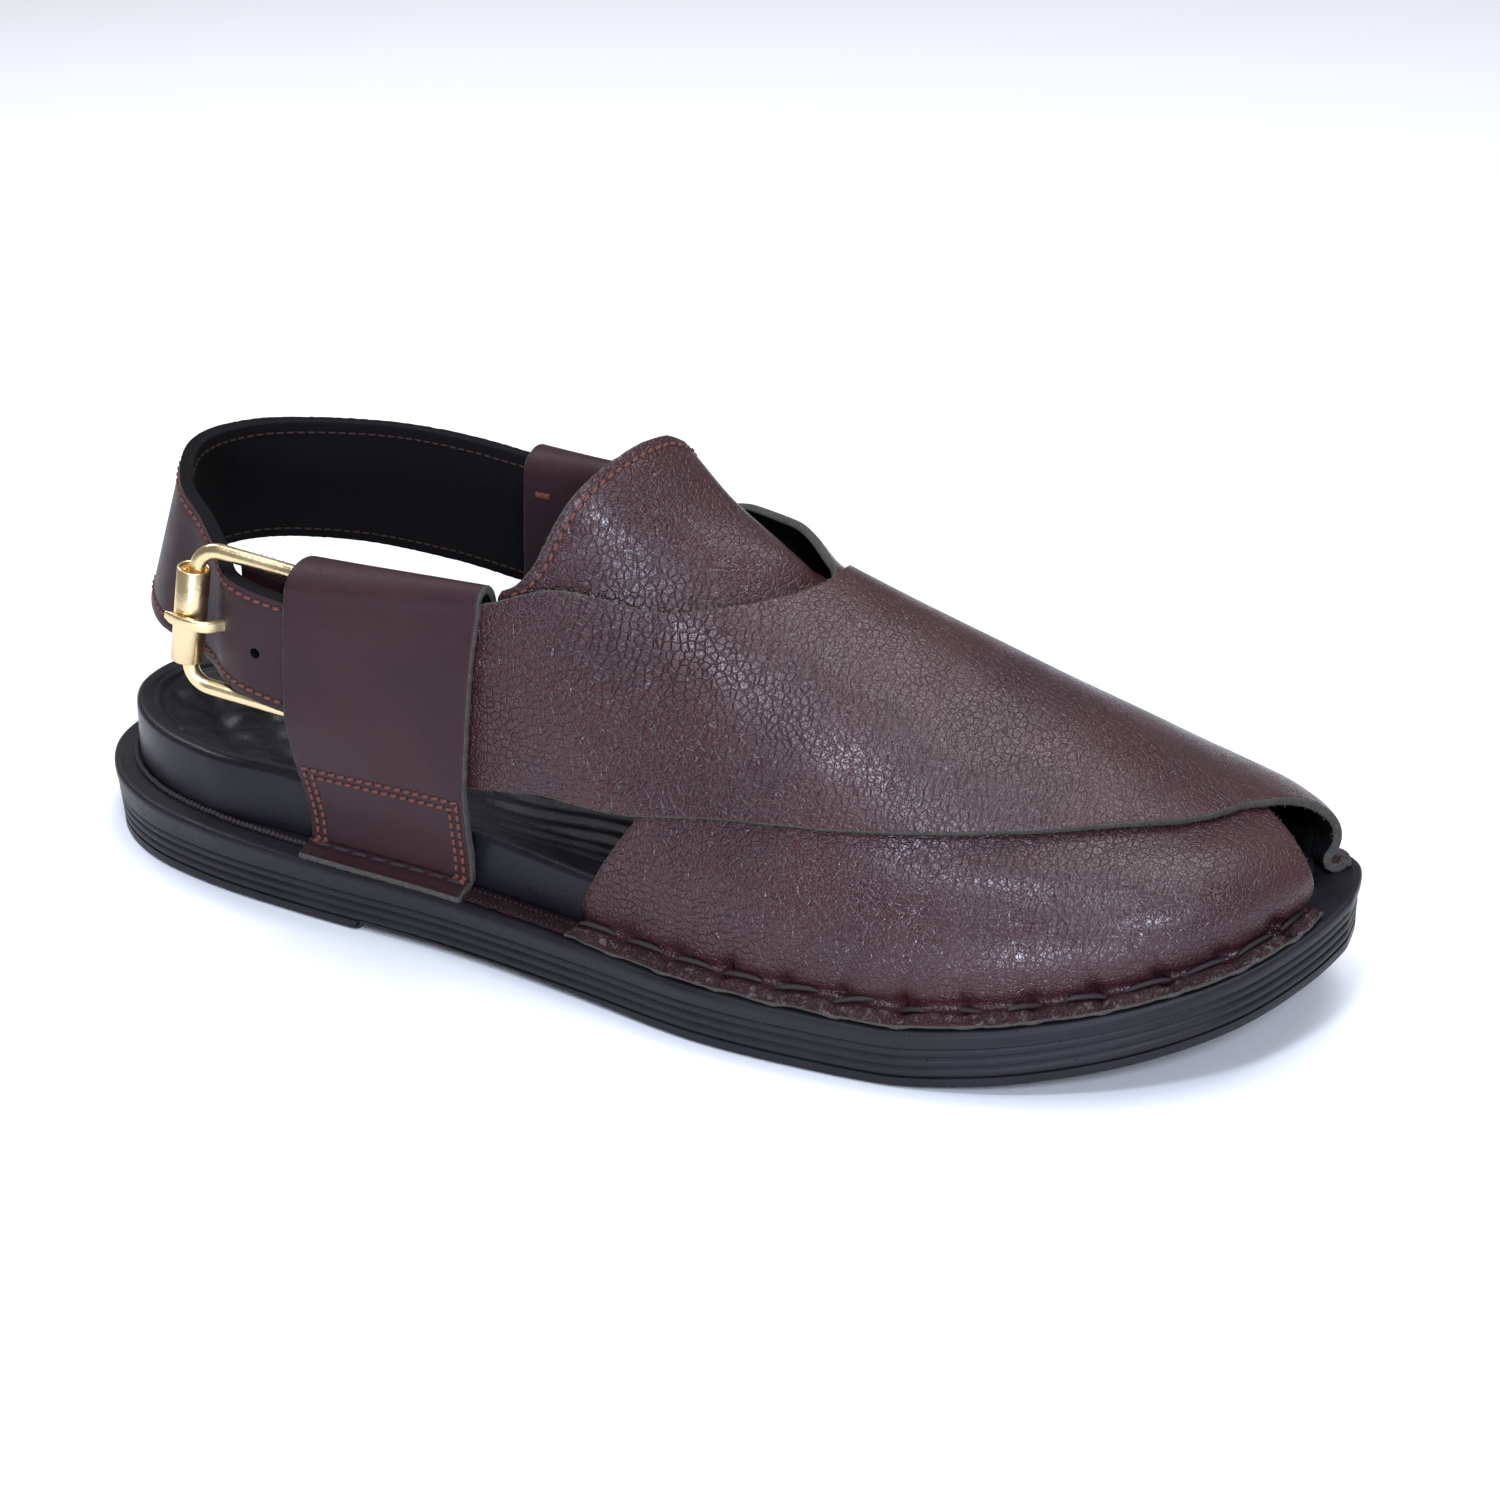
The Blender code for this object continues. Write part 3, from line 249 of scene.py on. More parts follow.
TOP_FLAP = (
    # rear edge along, rear edge across, front edge along, front edge across
    (0.375, -0.233, 0.375, -0.307),
    (0.421, -0.218, 0.422, -0.312),
    (0.480, -0.178, 0.520, -0.309),
    (0.540, -0.128, 0.617, -0.279),
    (0.590, -0.065, 0.700, -0.238),
    (0.618, -0.005, 0.775, -0.178),
    (0.627, 0.055, 0.840, -0.103),
    (0.620, 0.115, 0.893, -0.010),
    (0.598, 0.185, 0.924, 0.066),
    (0.560, 0.250, 0.940, 0.128),
    (0.520, 0.290, 0.955, 0.168),
    (0.494, 0.320, 0.970, 0.205),
)

UNDER_FLAP = (
    # rear edge along, rear edge across, front edge along, front edge across
    (0.375, 0.188, 0.375, 0.237),
    (0.421, 0.184, 0.422, 0.240),
    (0.480, 0.170, 0.520, 0.262),
    (0.540, 0.140, 0.617, 0.279),
    (0.590, 0.113, 0.700, 0.285),
    (0.617, 0.082, 0.775, 0.268),
    (0.626, 0.035, 0.840, 0.225),
    (0.620, -0.040, 0.890, 0.170),
    (0.600, -0.130, 0.920, 0.118),
    (0.577, -0.215, 0.938, 0.079),
    (0.549, -0.299, 0.953, 0.046),
    (0.494, -0.390, 0.976, 0.015),
)

TONGUE_EDGE = (
    # across (share of the way from ridge to feather line), rear edge along
    (-0.72, 0.428),
    (-0.61, 0.424),
    (-0.57, 0.438),
    (-0.51, 0.451),
    (-0.41, 0.462),
    (-0.34, 0.469),
    (-0.24, 0.479),
    (-0.16, 0.486),
    (-0.01, 0.495),
    (0.12, 0.500),
    (0.24, 0.500),
    (0.36, 0.492),
    (0.52, 0.478),
    (0.72, 0.474),
)

LOOP_FACE = (
    # height, rear bulge, front bulge, lean (shares of the loop's height, its bulges and LOOP_LEAN)
    (0.00, 0.00, 0.00, 0.00),
    (0.06, 0.02, 0.05, 0.06),
    (0.20, 0.30, 0.55, 0.20),
    (0.35, 0.70, 1.00, 0.35),
    (0.50, 1.00, 0.85, 0.50),
    (0.70, 1.00, 0.50, 0.70),
    (0.84, 0.98, 0.00, 0.84),
    (0.93, 0.88, -0.50, 0.93),
)

LOOPS = {
    # name: side, span along, height, rear bulge, inner face
    "lateral_loop": (-1, (0.2525, 0.3960), 0.0655, 0.0090, 0.0276),
    "medial_loop": (1, (0.3190, 0.4360), 0.0720, 0.0058, 0.0213),
}

STRAP_PATH = (
    # along, across, mid height, width, lean
    # (shares of LENGTH, BALL_WIDTH, STRAP_HEIGHT, STRAP_WIDTH twice)
    (-0.160, -0.341, 0.800, 0.79, 0.00),
    (-0.194, -0.348, 0.823, 0.79, 0.00),
    (-0.233, -0.363, 0.851, 0.80, 0.00),
    (-0.264, -0.369, 0.879, 0.80, 0.00),
    (-0.284, -0.360, 0.897, 0.80, 0.02),
    (-0.299, -0.334, 0.906, 0.80, 0.06),
    (-0.313, -0.300, 0.924, 0.83, 0.09),
    (-0.341, -0.252, 0.964, 0.90, 0.15),
    (-0.377, -0.203, 1.002, 0.96, 0.26),
    (-0.399, -0.132, 1.030, 0.99, 0.32),
    (-0.411, -0.056, 1.043, 0.99, 0.33),
    (-0.414, 0.024, 1.047, 0.97, 0.33),
    (-0.409, 0.098, 1.046, 0.93, 0.30),
    (-0.391, 0.168, 1.040, 0.91, 0.22),
    (-0.360, 0.226, 1.027, 0.90, 0.13),
    (-0.320, 0.262, 1.018, 0.90, 0.06),
    (-0.278, 0.273, 1.012, 0.91, 0.01),
    (-0.226, 0.268, 1.004, 0.92, 0.00),
    (-0.180, 0.262, 0.985, 0.93, 0.00),
    (-0.144, 0.257, 0.968, 0.93, 0.00),
)

CHAPE_PATH = (
    # along, inward of the pivot bar, low edge, high edge (shares of LENGTH, WIRE, FRAME_HEIGHT twice)
    (-0.166, 0.82, -0.37, 0.32),
    (-0.200, 0.82, -0.40, 0.38),
    (-0.233, 0.82, -0.43, 0.47),
    (-0.260, 0.44, -0.39, 0.54),
    (-0.285, 0.06, -0.34, 0.58),
)

PRONG_PATH = (
    # along the frame from the pivot, outward of its plane (shares of FRAME_RUN, ROLLER_DIAMETER)
    (0.088, 0.315),
    (0.350, 0.060),
    (0.540, -0.060),
    (0.700, 0.080),
    (0.830, 0.560),
    (1.020, 0.670),
    (1.180, 0.480),
)


# Numbers

def column(table, k):
    """One column of a table as an array."""
    return np.array([row[k] for row in table], float)


def smoothstep(t):
    """Ease from 0 to 1: 3t^2 - 2t^3."""
    t = np.clip(t, 0.0, 1.0)
    return t * t * (3.0 - 2.0 * t)


def bump_at(x, centre, width):
    """A bell of height 1: e to the minus the square of the distance over the width."""
    return np.exp(-((x - centre) / width) ** 2)


def monotone(x, xs, ys):
    """Cubic through a table's points that never overshoots them (harmonic mean slopes)."""
    x = np.clip(np.asarray(x, float), xs[0], xs[-1])
    step = np.diff(xs)
    rise = np.diff(ys) / step
    slope = np.zeros(len(xs))
    near = 2.0 * step[1:] + step[:-1]
    far = step[1:] + 2.0 * step[:-1]
    with np.errstate(divide="ignore", invalid="ignore"):
        mean = (near + far) / (near / rise[:-1] + far / rise[1:])
    slope[1:-1] = np.where(rise[:-1] * rise[1:] > 0.0, mean, 0.0)
    slope[0] = rise[0]
    slope[-1] = rise[-1]
    i = np.clip(np.searchsorted(xs, x, side="right") - 1, 0, len(step) - 1)
    t = (x - xs[i]) / step[i]
    value = ys[i] * (1 + 2 * t) * (1 - t) ** 2 + ys[i + 1] * t * t * (3 - 2 * t)
    return value + step[i] * (slope[i] * t * (1 - t) ** 2 + slope[i + 1] * t * t * (t - 1))


def spline(points, closed=False, steps=8):
    """Centripetal Catmull-Rom curve through points, with a number of steps between two of them."""
    p = np.asarray(points, float)
    spans = len(p)
    if closed:
        padded = np.vstack([p[-1:], p, p[:2]])
    else:
        padded = np.vstack([2 * p[0] - p[1], p, 2 * p[-1] - p[-2]])
        spans -= 1
    pieces = []
    for i in range(spans):
        a, b, c, d = padded[i:i + 4]
        t1 = np.linalg.norm(b - a) ** 0.5
        t2 = t1 + np.linalg.norm(c - b) ** 0.5
        t3 = t2 + np.linalg.norm(d - c) ** 0.5
        t = np.linspace(t1, t2, steps, endpoint=False)[:, None]
        ab = a + (b - a) * t / t1
        bc = b + (c - b) * (t - t1) / (t2 - t1)
        cd = c + (d - c) * (t - t2) / (t3 - t2)
        abc = ab + (bc - ab) * t / t2
        bcd = bc + (cd - bc) * (t - t1) / (t3 - t1)
        pieces.append(abc + (bcd - abc) * (t - t1) / (t2 - t1))
    curve = np.vstack(pieces)
    if closed:
        return curve
    return np.vstack([curve, p[-1:]])


def lengths(curve):
    """Distance along a curve from its first point."""
    step = np.linalg.norm(np.diff(curve, axis=0), axis=1)
    return np.concatenate([[0.0], np.cumsum(step)])


def resample(curve, distance, values=None):
    """Points of a curve, or values given on it, at distances along it."""
    total = lengths(curve)
    values = curve if values is None else values
    return np.column_stack([np.interp(distance, total, values[:, k]) for k in range(values.shape[1])])


def unit(vectors):
    """Vectors of length 1."""
    return vectors / np.maximum(np.linalg.norm(vectors, axis=-1, keepdims=True), 1e-12)


def ripple(p, period, seed=0):
    """Soft noise from -1 to 1: eight sine waves of about one period, in spread directions."""
    draw = np.random.RandomState(seed)
    directions = unit(draw.normal(size=(8, p.shape[-1])))
    waves = directions * draw.uniform(0.7, 1.4, (8, 1)) * 2 * math.pi / period
    phase = draw.uniform(0.0, 2 * math.pi, 8)
    return np.sin(p @ waves.T + phase).sum(axis=-1) / 4.0


# Shoe forms, shared with the CAD part

def x_at(along):
    """X of a share of the length, counted from the heel."""
    return (np.asarray(along, float) - 0.5) * LENGTH


def along_at(x):
    """Share of the length, counted from the heel, at an X."""
    return np.asarray(x, float) / LENGTH + 0.5


def sole_outline():
    """Closed plan outline of the flange, centred, exactly LENGTH by BALL_WIDTH."""
    x = x_at(column(SOLE_OUTLINE, 0))
    lateral = np.column_stack([x, -column(SOLE_OUTLINE, 1) * BALL_WIDTH])
    medial = np.column_stack([x, column(SOLE_OUTLINE, 2) * BALL_WIDTH])
    curve = spline(np.vstack([lateral, medial[::-1]]), closed=True, steps=48)
    low = curve.min(axis=0)
    high = curve.max(axis=0)
    return (curve - (low + high) / 2) * (np.array([LENGTH, BALL_WIDTH]) / (high - low))


def outward_of(curve):
    """Outward unit normals of a closed plan outline."""
    tangent = unit(np.roll(curve, -1, axis=0) - np.roll(curve, 1, axis=0))
    return np.column_stack([tangent[:, 1], -tangent[:, 0]])


def left_of(curve):
    """Left-hand unit normals of an open plan curve."""
    tangent = unit(np.gradient(curve, axis=0))
    return np.column_stack([-tangent[:, 1], tangent[:, 0]])


OUTLINE = sole_outline()
OUTLINE_OUT = outward_of(OUTLINE)
FEATHER = OUTLINE - OUTLINE_OUT * FLANGE_STEP


def halves(curve):
    """Lateral and medial halves of a closed outline, each from heel to toe."""
    curve = np.roll(curve, -int(np.argmin(curve[:, 0])), axis=0)
    toe = int(np.argmax(curve[:, 0]))
    first = curve[:toe + 1]
    second = np.vstack([curve[toe:], curve[:1]])[::-1]
    if first[:, 1].mean() < second[:, 1].mean():
        return first, second
    return second, first


FEATHER_LATERAL, FEATHER_MEDIAL = halves(FEATHER)


def feather_y(x, lateral):
    """Y of the feather line, where leather turns out over the ledge."""
    outer = np.interp(x, FEATHER_LATERAL[:, 0], FEATHER_LATERAL[:, 1])
    inner = np.interp(x, FEATHER_MEDIAL[:, 0], FEATHER_MEDIAL[:, 1])
    return np.where(lateral, outer, inner)


def sole_profile(along, k):
    """One column of SOLE_PROFILE at shares of the length."""
    return monotone(along, column(SOLE_PROFILE, 0), column(SOLE_PROFILE, k))


def bottom_height(along):
    """Walking face: flat heel, breast step, shank running back down, flat ball and sprung toe."""
    ahead = smoothstep((x_at(along) - x_at(HEEL_BREAST_ALONG)) / BREAST_RUN)
    return TOE_SPRING * sole_profile(along, 2) + SHANK_LIFT * sole_profile(along, 3) * ahead


def ledge_height(along):
    """Top face of the outsole's ledge."""
    return SOLE_THICKNESS * sole_profile(along, 1) + TOE_SPRING * sole_profile(along, 2)


def ledge_at(plan):
    """Height of the ledge's top face at plan points."""
    return ledge_height(along_at(plan[..., 0]))


def last_section(along, k):
    """One column of LAST_SECTIONS at shares of the length."""
    return monotone(along, column(LAST_SECTIONS, 0), column(LAST_SECTIONS, k))


def ridge(along):
    """Y and Z of the last's ridge."""
    return BALL_WIDTH * last_section(along, 2), INSTEP_HEIGHT * last_section(along, 1)


def last_surface(x, y, wall):
    """Outer face of leather drawn over the last, for points of its flat plan.

    Each point lies on a rib, a cubic Bezier from the feather line up to the ridge:
    (1-u)^3 p0 + 3u(1-u)^2 p1 + 3u^2(1-u) p2 + u^3 p3. The ribs stand square to the length up to the
    pole near the toe, and fan out round the toe from there.
    """
    x, y = np.broadcast_arrays(np.asarray(x, float), np.asarray(y, float))
    pole_x = x_at(POLE_ALONG)
    pole_y = ridge(POLE_ALONG)[0]
    spine_x = np.minimum(x, pole_x)
    along = along_at(spine_x)
    ridge_y, ridge_z = ridge(along)
    side_foot = np.stack([spine_x, feather_y(spine_x, y < ridge_y)], axis=-1)
    spokes = FEATHER - np.array([pole_x, pole_y])
    angles = np.arctan2(spokes[:, 1], spokes[:, 0])
    order = np.argsort(angles)
    angle = np.arctan2(y - pole_y, np.maximum(x - pole_x, 1e-9))
    radius = np.interp(angle, angles[order], np.hypot(spokes[:, 0], spokes[:, 1])[order])
    toe_foot = np.stack([pole_x + radius * np.cos(angle), pole_y + radius * np.sin(angle)], axis=-1)
    foot = np.where((x > pole_x)[..., None], toe_foot, side_foot)
    top = np.stack([spine_x, ridge_y], axis=-1)
    width = np.linalg.norm(foot - top, axis=-1)
    outward = (foot - top) / width[..., None]
    reach = ((np.stack([x, y], axis=-1) - top) * outward).sum(axis=-1) / width
    u = 1.0 - np.clip(reach, 0.0, 1.0)
    foot_z = ledge_at(foot) + CLEARANCE + wall
    nudge = 1e-3
    fall = (ridge(along + nudge)[1] - ridge(along - nudge)[1]) / (2 * nudge * LENGTH)
    crown = last_section(along, 4) * width
    bulge = last_section(along, 5) * BALL_WIDTH
    rise = last_section(along, 3) * (ridge_z - foot_z)
    p0 = np.concatenate([foot, foot_z[..., None]], axis=-1)
    p3 = np.concatenate([top, ridge_z[..., None]], axis=-1)
    p1 = p0 + np.concatenate([outward * bulge[..., None], rise[..., None]], axis=-1)
    drop = outward[..., 0] * crown * fall
    p2 = p3 + np.concatenate([outward * crown[..., None], drop[..., None]], axis=-1)
    weights = ((1 - u) ** 3, 3 * u * (1 - u) ** 2, 3 * u * u * (1 - u), u ** 3)
    return sum(w[..., None] * p for w, p in zip(weights, (p0, p1, p2, p3)))


def feather_run(start, end, shares):
    """Plan points and outward normals along the feather line, at shares between two plan points."""
    a = int(np.argmin(np.hypot(*(FEATHER - start).T)))
    b = int(np.argmin(np.hypot(*(FEATHER - end).T)))
    size = len(FEATHER)
    forward = (b - a) % size
    backward = (a - b) % size
    signed = forward if forward < backward else -backward
    exact = a + shares * signed
    low = np.floor(exact).astype(int)
    mix = (exact - low)[:, None]
    line = FEATHER[low % size] * (1 - mix) + FEATHER[(low + 1) % size] * mix
    normals = outward_of(FEATHER)
    return line, unit(normals[low % size] * (1 - mix) + normals[(low + 1) % size] * mix)


def flap_edges(table):
    """Plan curves of a flap's rear and front edges, without its bent foot."""
    scale = np.array([LENGTH, BALL_WIDTH])
    rear = spline(np.column_stack([column(table, 0) - 0.5, column(table, 1)]) * scale)
    front = spline(np.column_stack([column(table, 2) - 0.5, column(table, 3)]) * scale)
    return rear, front


def flap_plan(table, rows, columns):
    """Plan grid ruled between a flap's edges, plus a^4 times what bends its foot to the feather line."""
    rear, front = flap_edges(table)
    line, outward = feather_run(rear[-1], front[-1], columns)
    span = np.linspace(0.0, 1.0, len(rear))
    a = rows[:, None, None]
    b = columns[None, :, None]
    first = np.column_stack([np.interp(rows, span, rear[:, k]) for k in (0, 1)])
    last = np.column_stack([np.interp(rows, span, front[:, k]) for k in (0, 1)])
    ruled = (1 - b) * first[:, None] + b * last[:, None]
    end = (1 - b) * rear[-1] + b * front[-1]
    return ruled + a ** 4 * (line[None] - end), line, outward


def depth_inside(plan, outline):
    """Signed distance of plan points to a closed outline, positive inside it."""
    flat = plan.reshape(-1, 2)
    ahead = np.roll(outline, -1, axis=0)
    edge = ahead - outline
    away = flat[:, None, :] - outline
    share = np.clip((away * edge).sum(axis=-1) / (edge * edge).sum(axis=-1), 0.0, 1.0)
    near = np.linalg.norm(away - share[..., None] * edge, axis=-1).min(axis=-1)
    spans = (outline[:, 1] > flat[:, None, 1]) != (ahead[:, 1] > flat[:, None, 1])
    rise = np.where(edge[:, 1] == 0.0, 1e-12, edge[:, 1])
    left = away[..., 0] < away[..., 1] / rise * edge[:, 0]
    inside = (spans & left).sum(axis=-1) % 2 == 1
    return np.where(inside, near, -near).reshape(plan.shape[:-1])


def cover(plan, table, run):
    """How far plan points lie under a flap: 0 a run outside its edges, 1 from its edges inward."""
    rear, front = flap_edges(table)
    return smoothstep(depth_inside(plan, np.vstack([rear, front[::-1]])[::2]) / run + 1.0)


def edge_nearness(plan, edge, run):
    """1 on an edge, easing to 0 at a run from it."""
    gap = np.linalg.norm(plan[..., None, :] - edge, axis=-1).min(axis=-1)
    return smoothstep(1.0 - gap / run)


def strap_rows(steps):
    """Centre line of the heel strap with its mid heights, widths and leans."""
    scale = np.array([LENGTH, BALL_WIDTH, STRAP_HEIGHT, STRAP_WIDTH, STRAP_WIDTH])
    return spline(np.array(STRAP_PATH) * scale, steps=steps)


def in_axes(points, axes):
    """Points given in a matrix's own axes, in the frame's axes."""
    matrix = np.array(axes)
    return points @ matrix[:3, :3].T + matrix[:3, 3]


def buckle_axes():
    """Matrix of the buckle: +X from the pivot bar to the roller, +Y up the bars, +Z outward."""
    yaw = math.radians(FRAME_YAW)
    dip = math.radians(FRAME_DIP)
    reach = Vector((-math.cos(yaw) * math.cos(dip), -math.sin(yaw) * math.cos(dip), math.sin(dip)))
    outward = Vector((math.sin(yaw), -math.cos(yaw), 0.0))
    matrix = Matrix((reach, outward.cross(reach), outward)).transposed().to_4x4()
    matrix.translation = Vector(PIVOT)
    return matrix


# Surfaces

def grid_normals(grid):
    """Unit normals of a grid of points: the cross product of its two directions."""
    return unit(np.cross(np.gradient(grid, axis=0), np.gradient(grid, axis=1)))


def grid_faces(rows, columns, closed=False):
    """Quads of a grid, its columns joined into a ring where it is closed."""
    index = np.arange(rows * columns).reshape(rows, columns)
    if closed:
        index = np.hstack([index, index[:, :1]])
    corners = (index[:-1, :-1], index[1:, :-1], index[1:, 1:], index[:-1, 1:])
    return np.stack(corners, axis=-1).reshape(-1, 4)


def border(rows, columns):
    """Indices round the edge of a grid: first row, last column, last row back, first column back."""
    index = np.arange(rows * columns).reshape(rows, columns)
    sides = (index[0, :-1], index[:-1, -1], index[-1, :0:-1], index[:0:-1, 0])
    return np.concatenate(sides)


def sample(grid, r, c):
    """Points of a grid at fractional rows and columns (bilinear)."""
    r = np.clip(r, 0, grid.shape[0] - 1.001)
    c = np.clip(c, 0, grid.shape[1] - 1.001)
    i = r.astype(int)
    j = c.astype(int)
    s = (r - i)[..., None]
    t = (c - j)[..., None]
    near = grid[i, j] * (1 - t) + grid[i, j + 1] * t
    far = grid[i + 1, j] * (1 - t) + grid[i + 1, j + 1] * t
    return near * (1 - s) + far * s


def mean_run(grid, axis):
    """Mean distance over a grid from its first row (axis 0) or its first column (axis 1)."""
    step = np.linalg.norm(np.diff(grid, axis=axis), axis=-1).mean(axis=1 - axis)
    return np.concatenate([[0.0], np.cumsum(step)])


def gap_to(grid, path):
    """Distance of a grid's points to a path, in slices of the grid to save memory."""
    return np.stack([np.linalg.norm(row[:, None] - path, axis=-1).min(axis=1) for row in grid])


def press(grid, path, depth, run):
    """A grid with a groove along a path: sunk by depth times e^-(distance/run)^2."""
    return grid - grid_normals(grid) * (depth * np.exp(-(gap_to(grid, path) / run) ** 2))[..., None]


def add_piece(name, vertices, faces, finishes, slot, replaced=(), kinds=None, uv=None):
    """A smooth mesh of the shoe with its finishes, riding on the frame."""
    mesh = bpy.data.meshes.new(name)
    mesh.from_pydata(vertices.tolist(), [], faces.tolist() if hasattr(faces, "tolist") else faces)
    mesh.shade_smooth()
    for finish in finishes:
        mesh.materials.append(finish)
    if kinds is not None:
        mesh.polygons.foreach_set("material_index", kinds.astype(np.int32))
    if uv is not None:
        corners = np.empty(len(mesh.loops), np.int32)
        mesh.loops.foreach_get("vertex_index", corners)
        layer = mesh.uv_layers.new(name="Flat")
        layer.data.foreach_set("uv", uv[corners].astype(np.float32).ravel())
    mesh.set_sharp_from_angle(angle=SHARP_ANGLE)
    if mesh.validate():
        raise RuntimeError(name + ": the mesh had faults")
    piece = bpy.data.objects.new(name, mesh)
    bpy.context.scene.collection.objects.link(piece)
    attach(piece, "root")
    if replaced:
        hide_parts(*replaced)
    return piece


def add_leather(name, grid, wall, finishes, replaced=(), plies=1, swell=0.16, margin=None):
    """A leather sheet with a rounded cut edge.

    The outer face is the grid, the inner face lies one wall along its normals, and the rim between
    them is a half turn: edge - n w (1 - cos t) / 2 + o s w sin(t)^0.6, with a nick between two plies.
    Rows of the outer face from a margin row on take the fourth finish.
    """
    rows, columns = grid.shape[:2]
    normals = grid_normals(grid)
    wall = np.broadcast_to(wall, (rows, columns)).reshape(-1, 1)
    outer = grid.reshape(-1, 3)
    flat = normals.reshape(-1, 3)
    inner = outer - flat * wall
    loop = border(rows, columns)
    edge = outer[loop]
    normal = flat[loop]
    along = unit(np.roll(edge, -1, axis=0) - np.roll(edge, 1, axis=0))
    out = unit(np.cross(normal, along))
    if ((edge - outer.mean(axis=0)) * out).sum() < 0:
        out = -out
    turns = np.linspace(0.0, math.pi, 9 if plies > 1 else 6)[1:-1]
    rims = []
    fray = 1.0 + 0.5 * ripple(edge, 0.0011, 3)[:, None]
    for turn in turns:
        nick = 0.75 * bump_at(turn, math.pi / 2, 0.30) if plies > 1 else 0.0
        reach = swell * wall[loop] * (math.sin(turn) ** 0.6 - nick) * fray
        rims.append(edge - normal * wall[loop] * (1 - math.cos(turn)) / 2 + out * reach)
    count = rows * columns
    outside = grid_faces(rows, columns)
    inside = outside[:, ::-1] + count
    chain = [loop]
    chain += [2 * count + k * len(loop) + np.arange(len(loop)) for k in range(len(rims))]
    chain += [loop + count]
    strips = []
    for a, b in zip(chain[:-1], chain[1:]):
        strips.append(np.stack([a, np.roll(a, -1), np.roll(b, -1), b], axis=-1))
    rim_faces = np.vstack(strips)
    vertices = np.vstack([outer, inner] + rims)
    faces = np.vstack([outside, inside, rim_faces])
    kinds = np.concatenate([np.zeros(len(outside)), np.ones(len(inside)), np.full(len(rim_faces), 2)])
    if margin:
        kinds[margin * (columns - 1):len(outside)] = 3
    down, over = (mean_run(grid, axis) for axis in (0, 1))
    flat_uv = np.stack(np.meshgrid(over, down), axis=-1).reshape(-1, 2)
    uv = np.vstack([flat_uv, flat_uv] + [flat_uv[loop]] * len(rims))
    return add_piece(name, vertices, faces, finishes, "brown_leather", replaced, kinds, uv)


def add_tube(name, rings, finish, slot, replaced=(), cyclic=False):
    """A closed skin over rings of points, its ends closed by fans to their centres."""
    count = rings.shape[1]
    vertices = rings.reshape(-1, 3)
    index = np.arange(len(vertices)).reshape(-1, count)
    if cyclic:
        index = np.vstack([index, index[:1]])
    index = np.hstack([index, index[:, :1]])
    corners = (index[:-1, :-1], index[:-1, 1:], index[1:, 1:], index[1:, :-1])
    faces = np.stack(corners, axis=-1).reshape(-1, 4).tolist()
    if not cyclic:
        vertices = np.vstack([vertices, rings[0].mean(axis=0), rings[-1].mean(axis=0)])
        first, last = len(vertices) - 2, len(vertices) - 1
        for k in range(count):
            faces.append([first, int(index[0, k + 1]), int(index[0, k])])
            faces.append([last, int(index[-1, k]), int(index[-1, k + 1])])
    return add_piece(name, vertices, faces, [finish], slot, replaced)


def add_stitches(name, runs, finish, length, radius, tilt=0.0):
    """Rows of stitches, each a short thread whose middle stands up and whose ends dive in.

    Height = 0.8 r (1 - |2s|^3) - 0.35 r, thinner toward the ends, turned by a tilt from its row. A run
    is the stitches' centres, their directions and their normals.
    """
    share = np.linspace(-0.5, 0.5, 7)
    thick = radius * (1.0 - 0.45 * np.abs(2 * share) ** 3)
    lift = radius * (0.8 * (1.0 - np.abs(2 * share) ** 3) - 0.35)
    turn = np.linspace(0.0, 2 * math.pi, 6, endpoint=False)
    ring_x = np.repeat(share * length, 6)
    ring_y = np.outer(thick, np.cos(turn)).ravel()
    ring_z = (np.outer(thick, np.sin(turn)) + lift[:, None]).ravel()
    shape = np.column_stack([ring_x, ring_y, ring_z])
    tips = np.array([[-0.52 * length, 0.0, -0.45 * radius], [0.52 * length, 0.0, -0.45 * radius]])
    shape = np.vstack([shape, tips])
    cos, sin = math.cos(tilt), math.sin(tilt)
    shape = shape @ np.array([[cos, sin, 0.0], [-sin, cos, 0.0], [0.0, 0.0, 1.0]])
    faces = []
    for i in range(6):
        for k in range(6):
            a, b = i * 6 + k, i * 6 + (k + 1) % 6
            faces.append([a, b, b + 6, a + 6])
    ends = []
    for k in range(6):
        ends.append([42, (k + 1) % 6, k])
        ends.append([43, 36 + k, 36 + (k + 1) % 6])
    vertices = []
    all_faces = []
    total = 0
    for point, along, normal in runs:
        side = unit(np.cross(normal, along))
        along = unit(np.cross(side, normal))
        basis = np.stack([along, side, normal], axis=1)
        placed = point[:, None] + np.einsum("sk,nkx->nsx", shape, basis)
        base = total + 44 * np.arange(len(point))[:, None, None]
        all_faces += (np.array(faces)[None] + base).reshape(-1, 4).tolist()
        all_faces += (np.array(ends)[None] + base).reshape(-1, 3).tolist()
        vertices.append(placed.reshape(-1, 3))
        total += 44 * len(point)
    return add_piece(name, np.vstack(vertices), all_faces, [finish], "brown_leather")


def stitch_run(path, normals, pitch, inset=0.5):
    """Stitch centres at an even pitch along a path, with their directions and normals."""
    total = lengths(path)[-1]
    count = max(2, int(round(total / pitch)))
    at = (np.arange(count) + inset) * total / count
    step = total / 2000
    along = resample(path, np.minimum(at + step, total)) - resample(path, np.maximum(at - step, 0.0))
    return resample(path, at), unit(along), unit(resample(path, at, normals))


def seam_run(grid, normals, path, pitch):
    """Stitches along a path of fractional rows and columns of a grid."""
    return stitch_run(sample(grid, *path), sample(normals, *path), pitch)


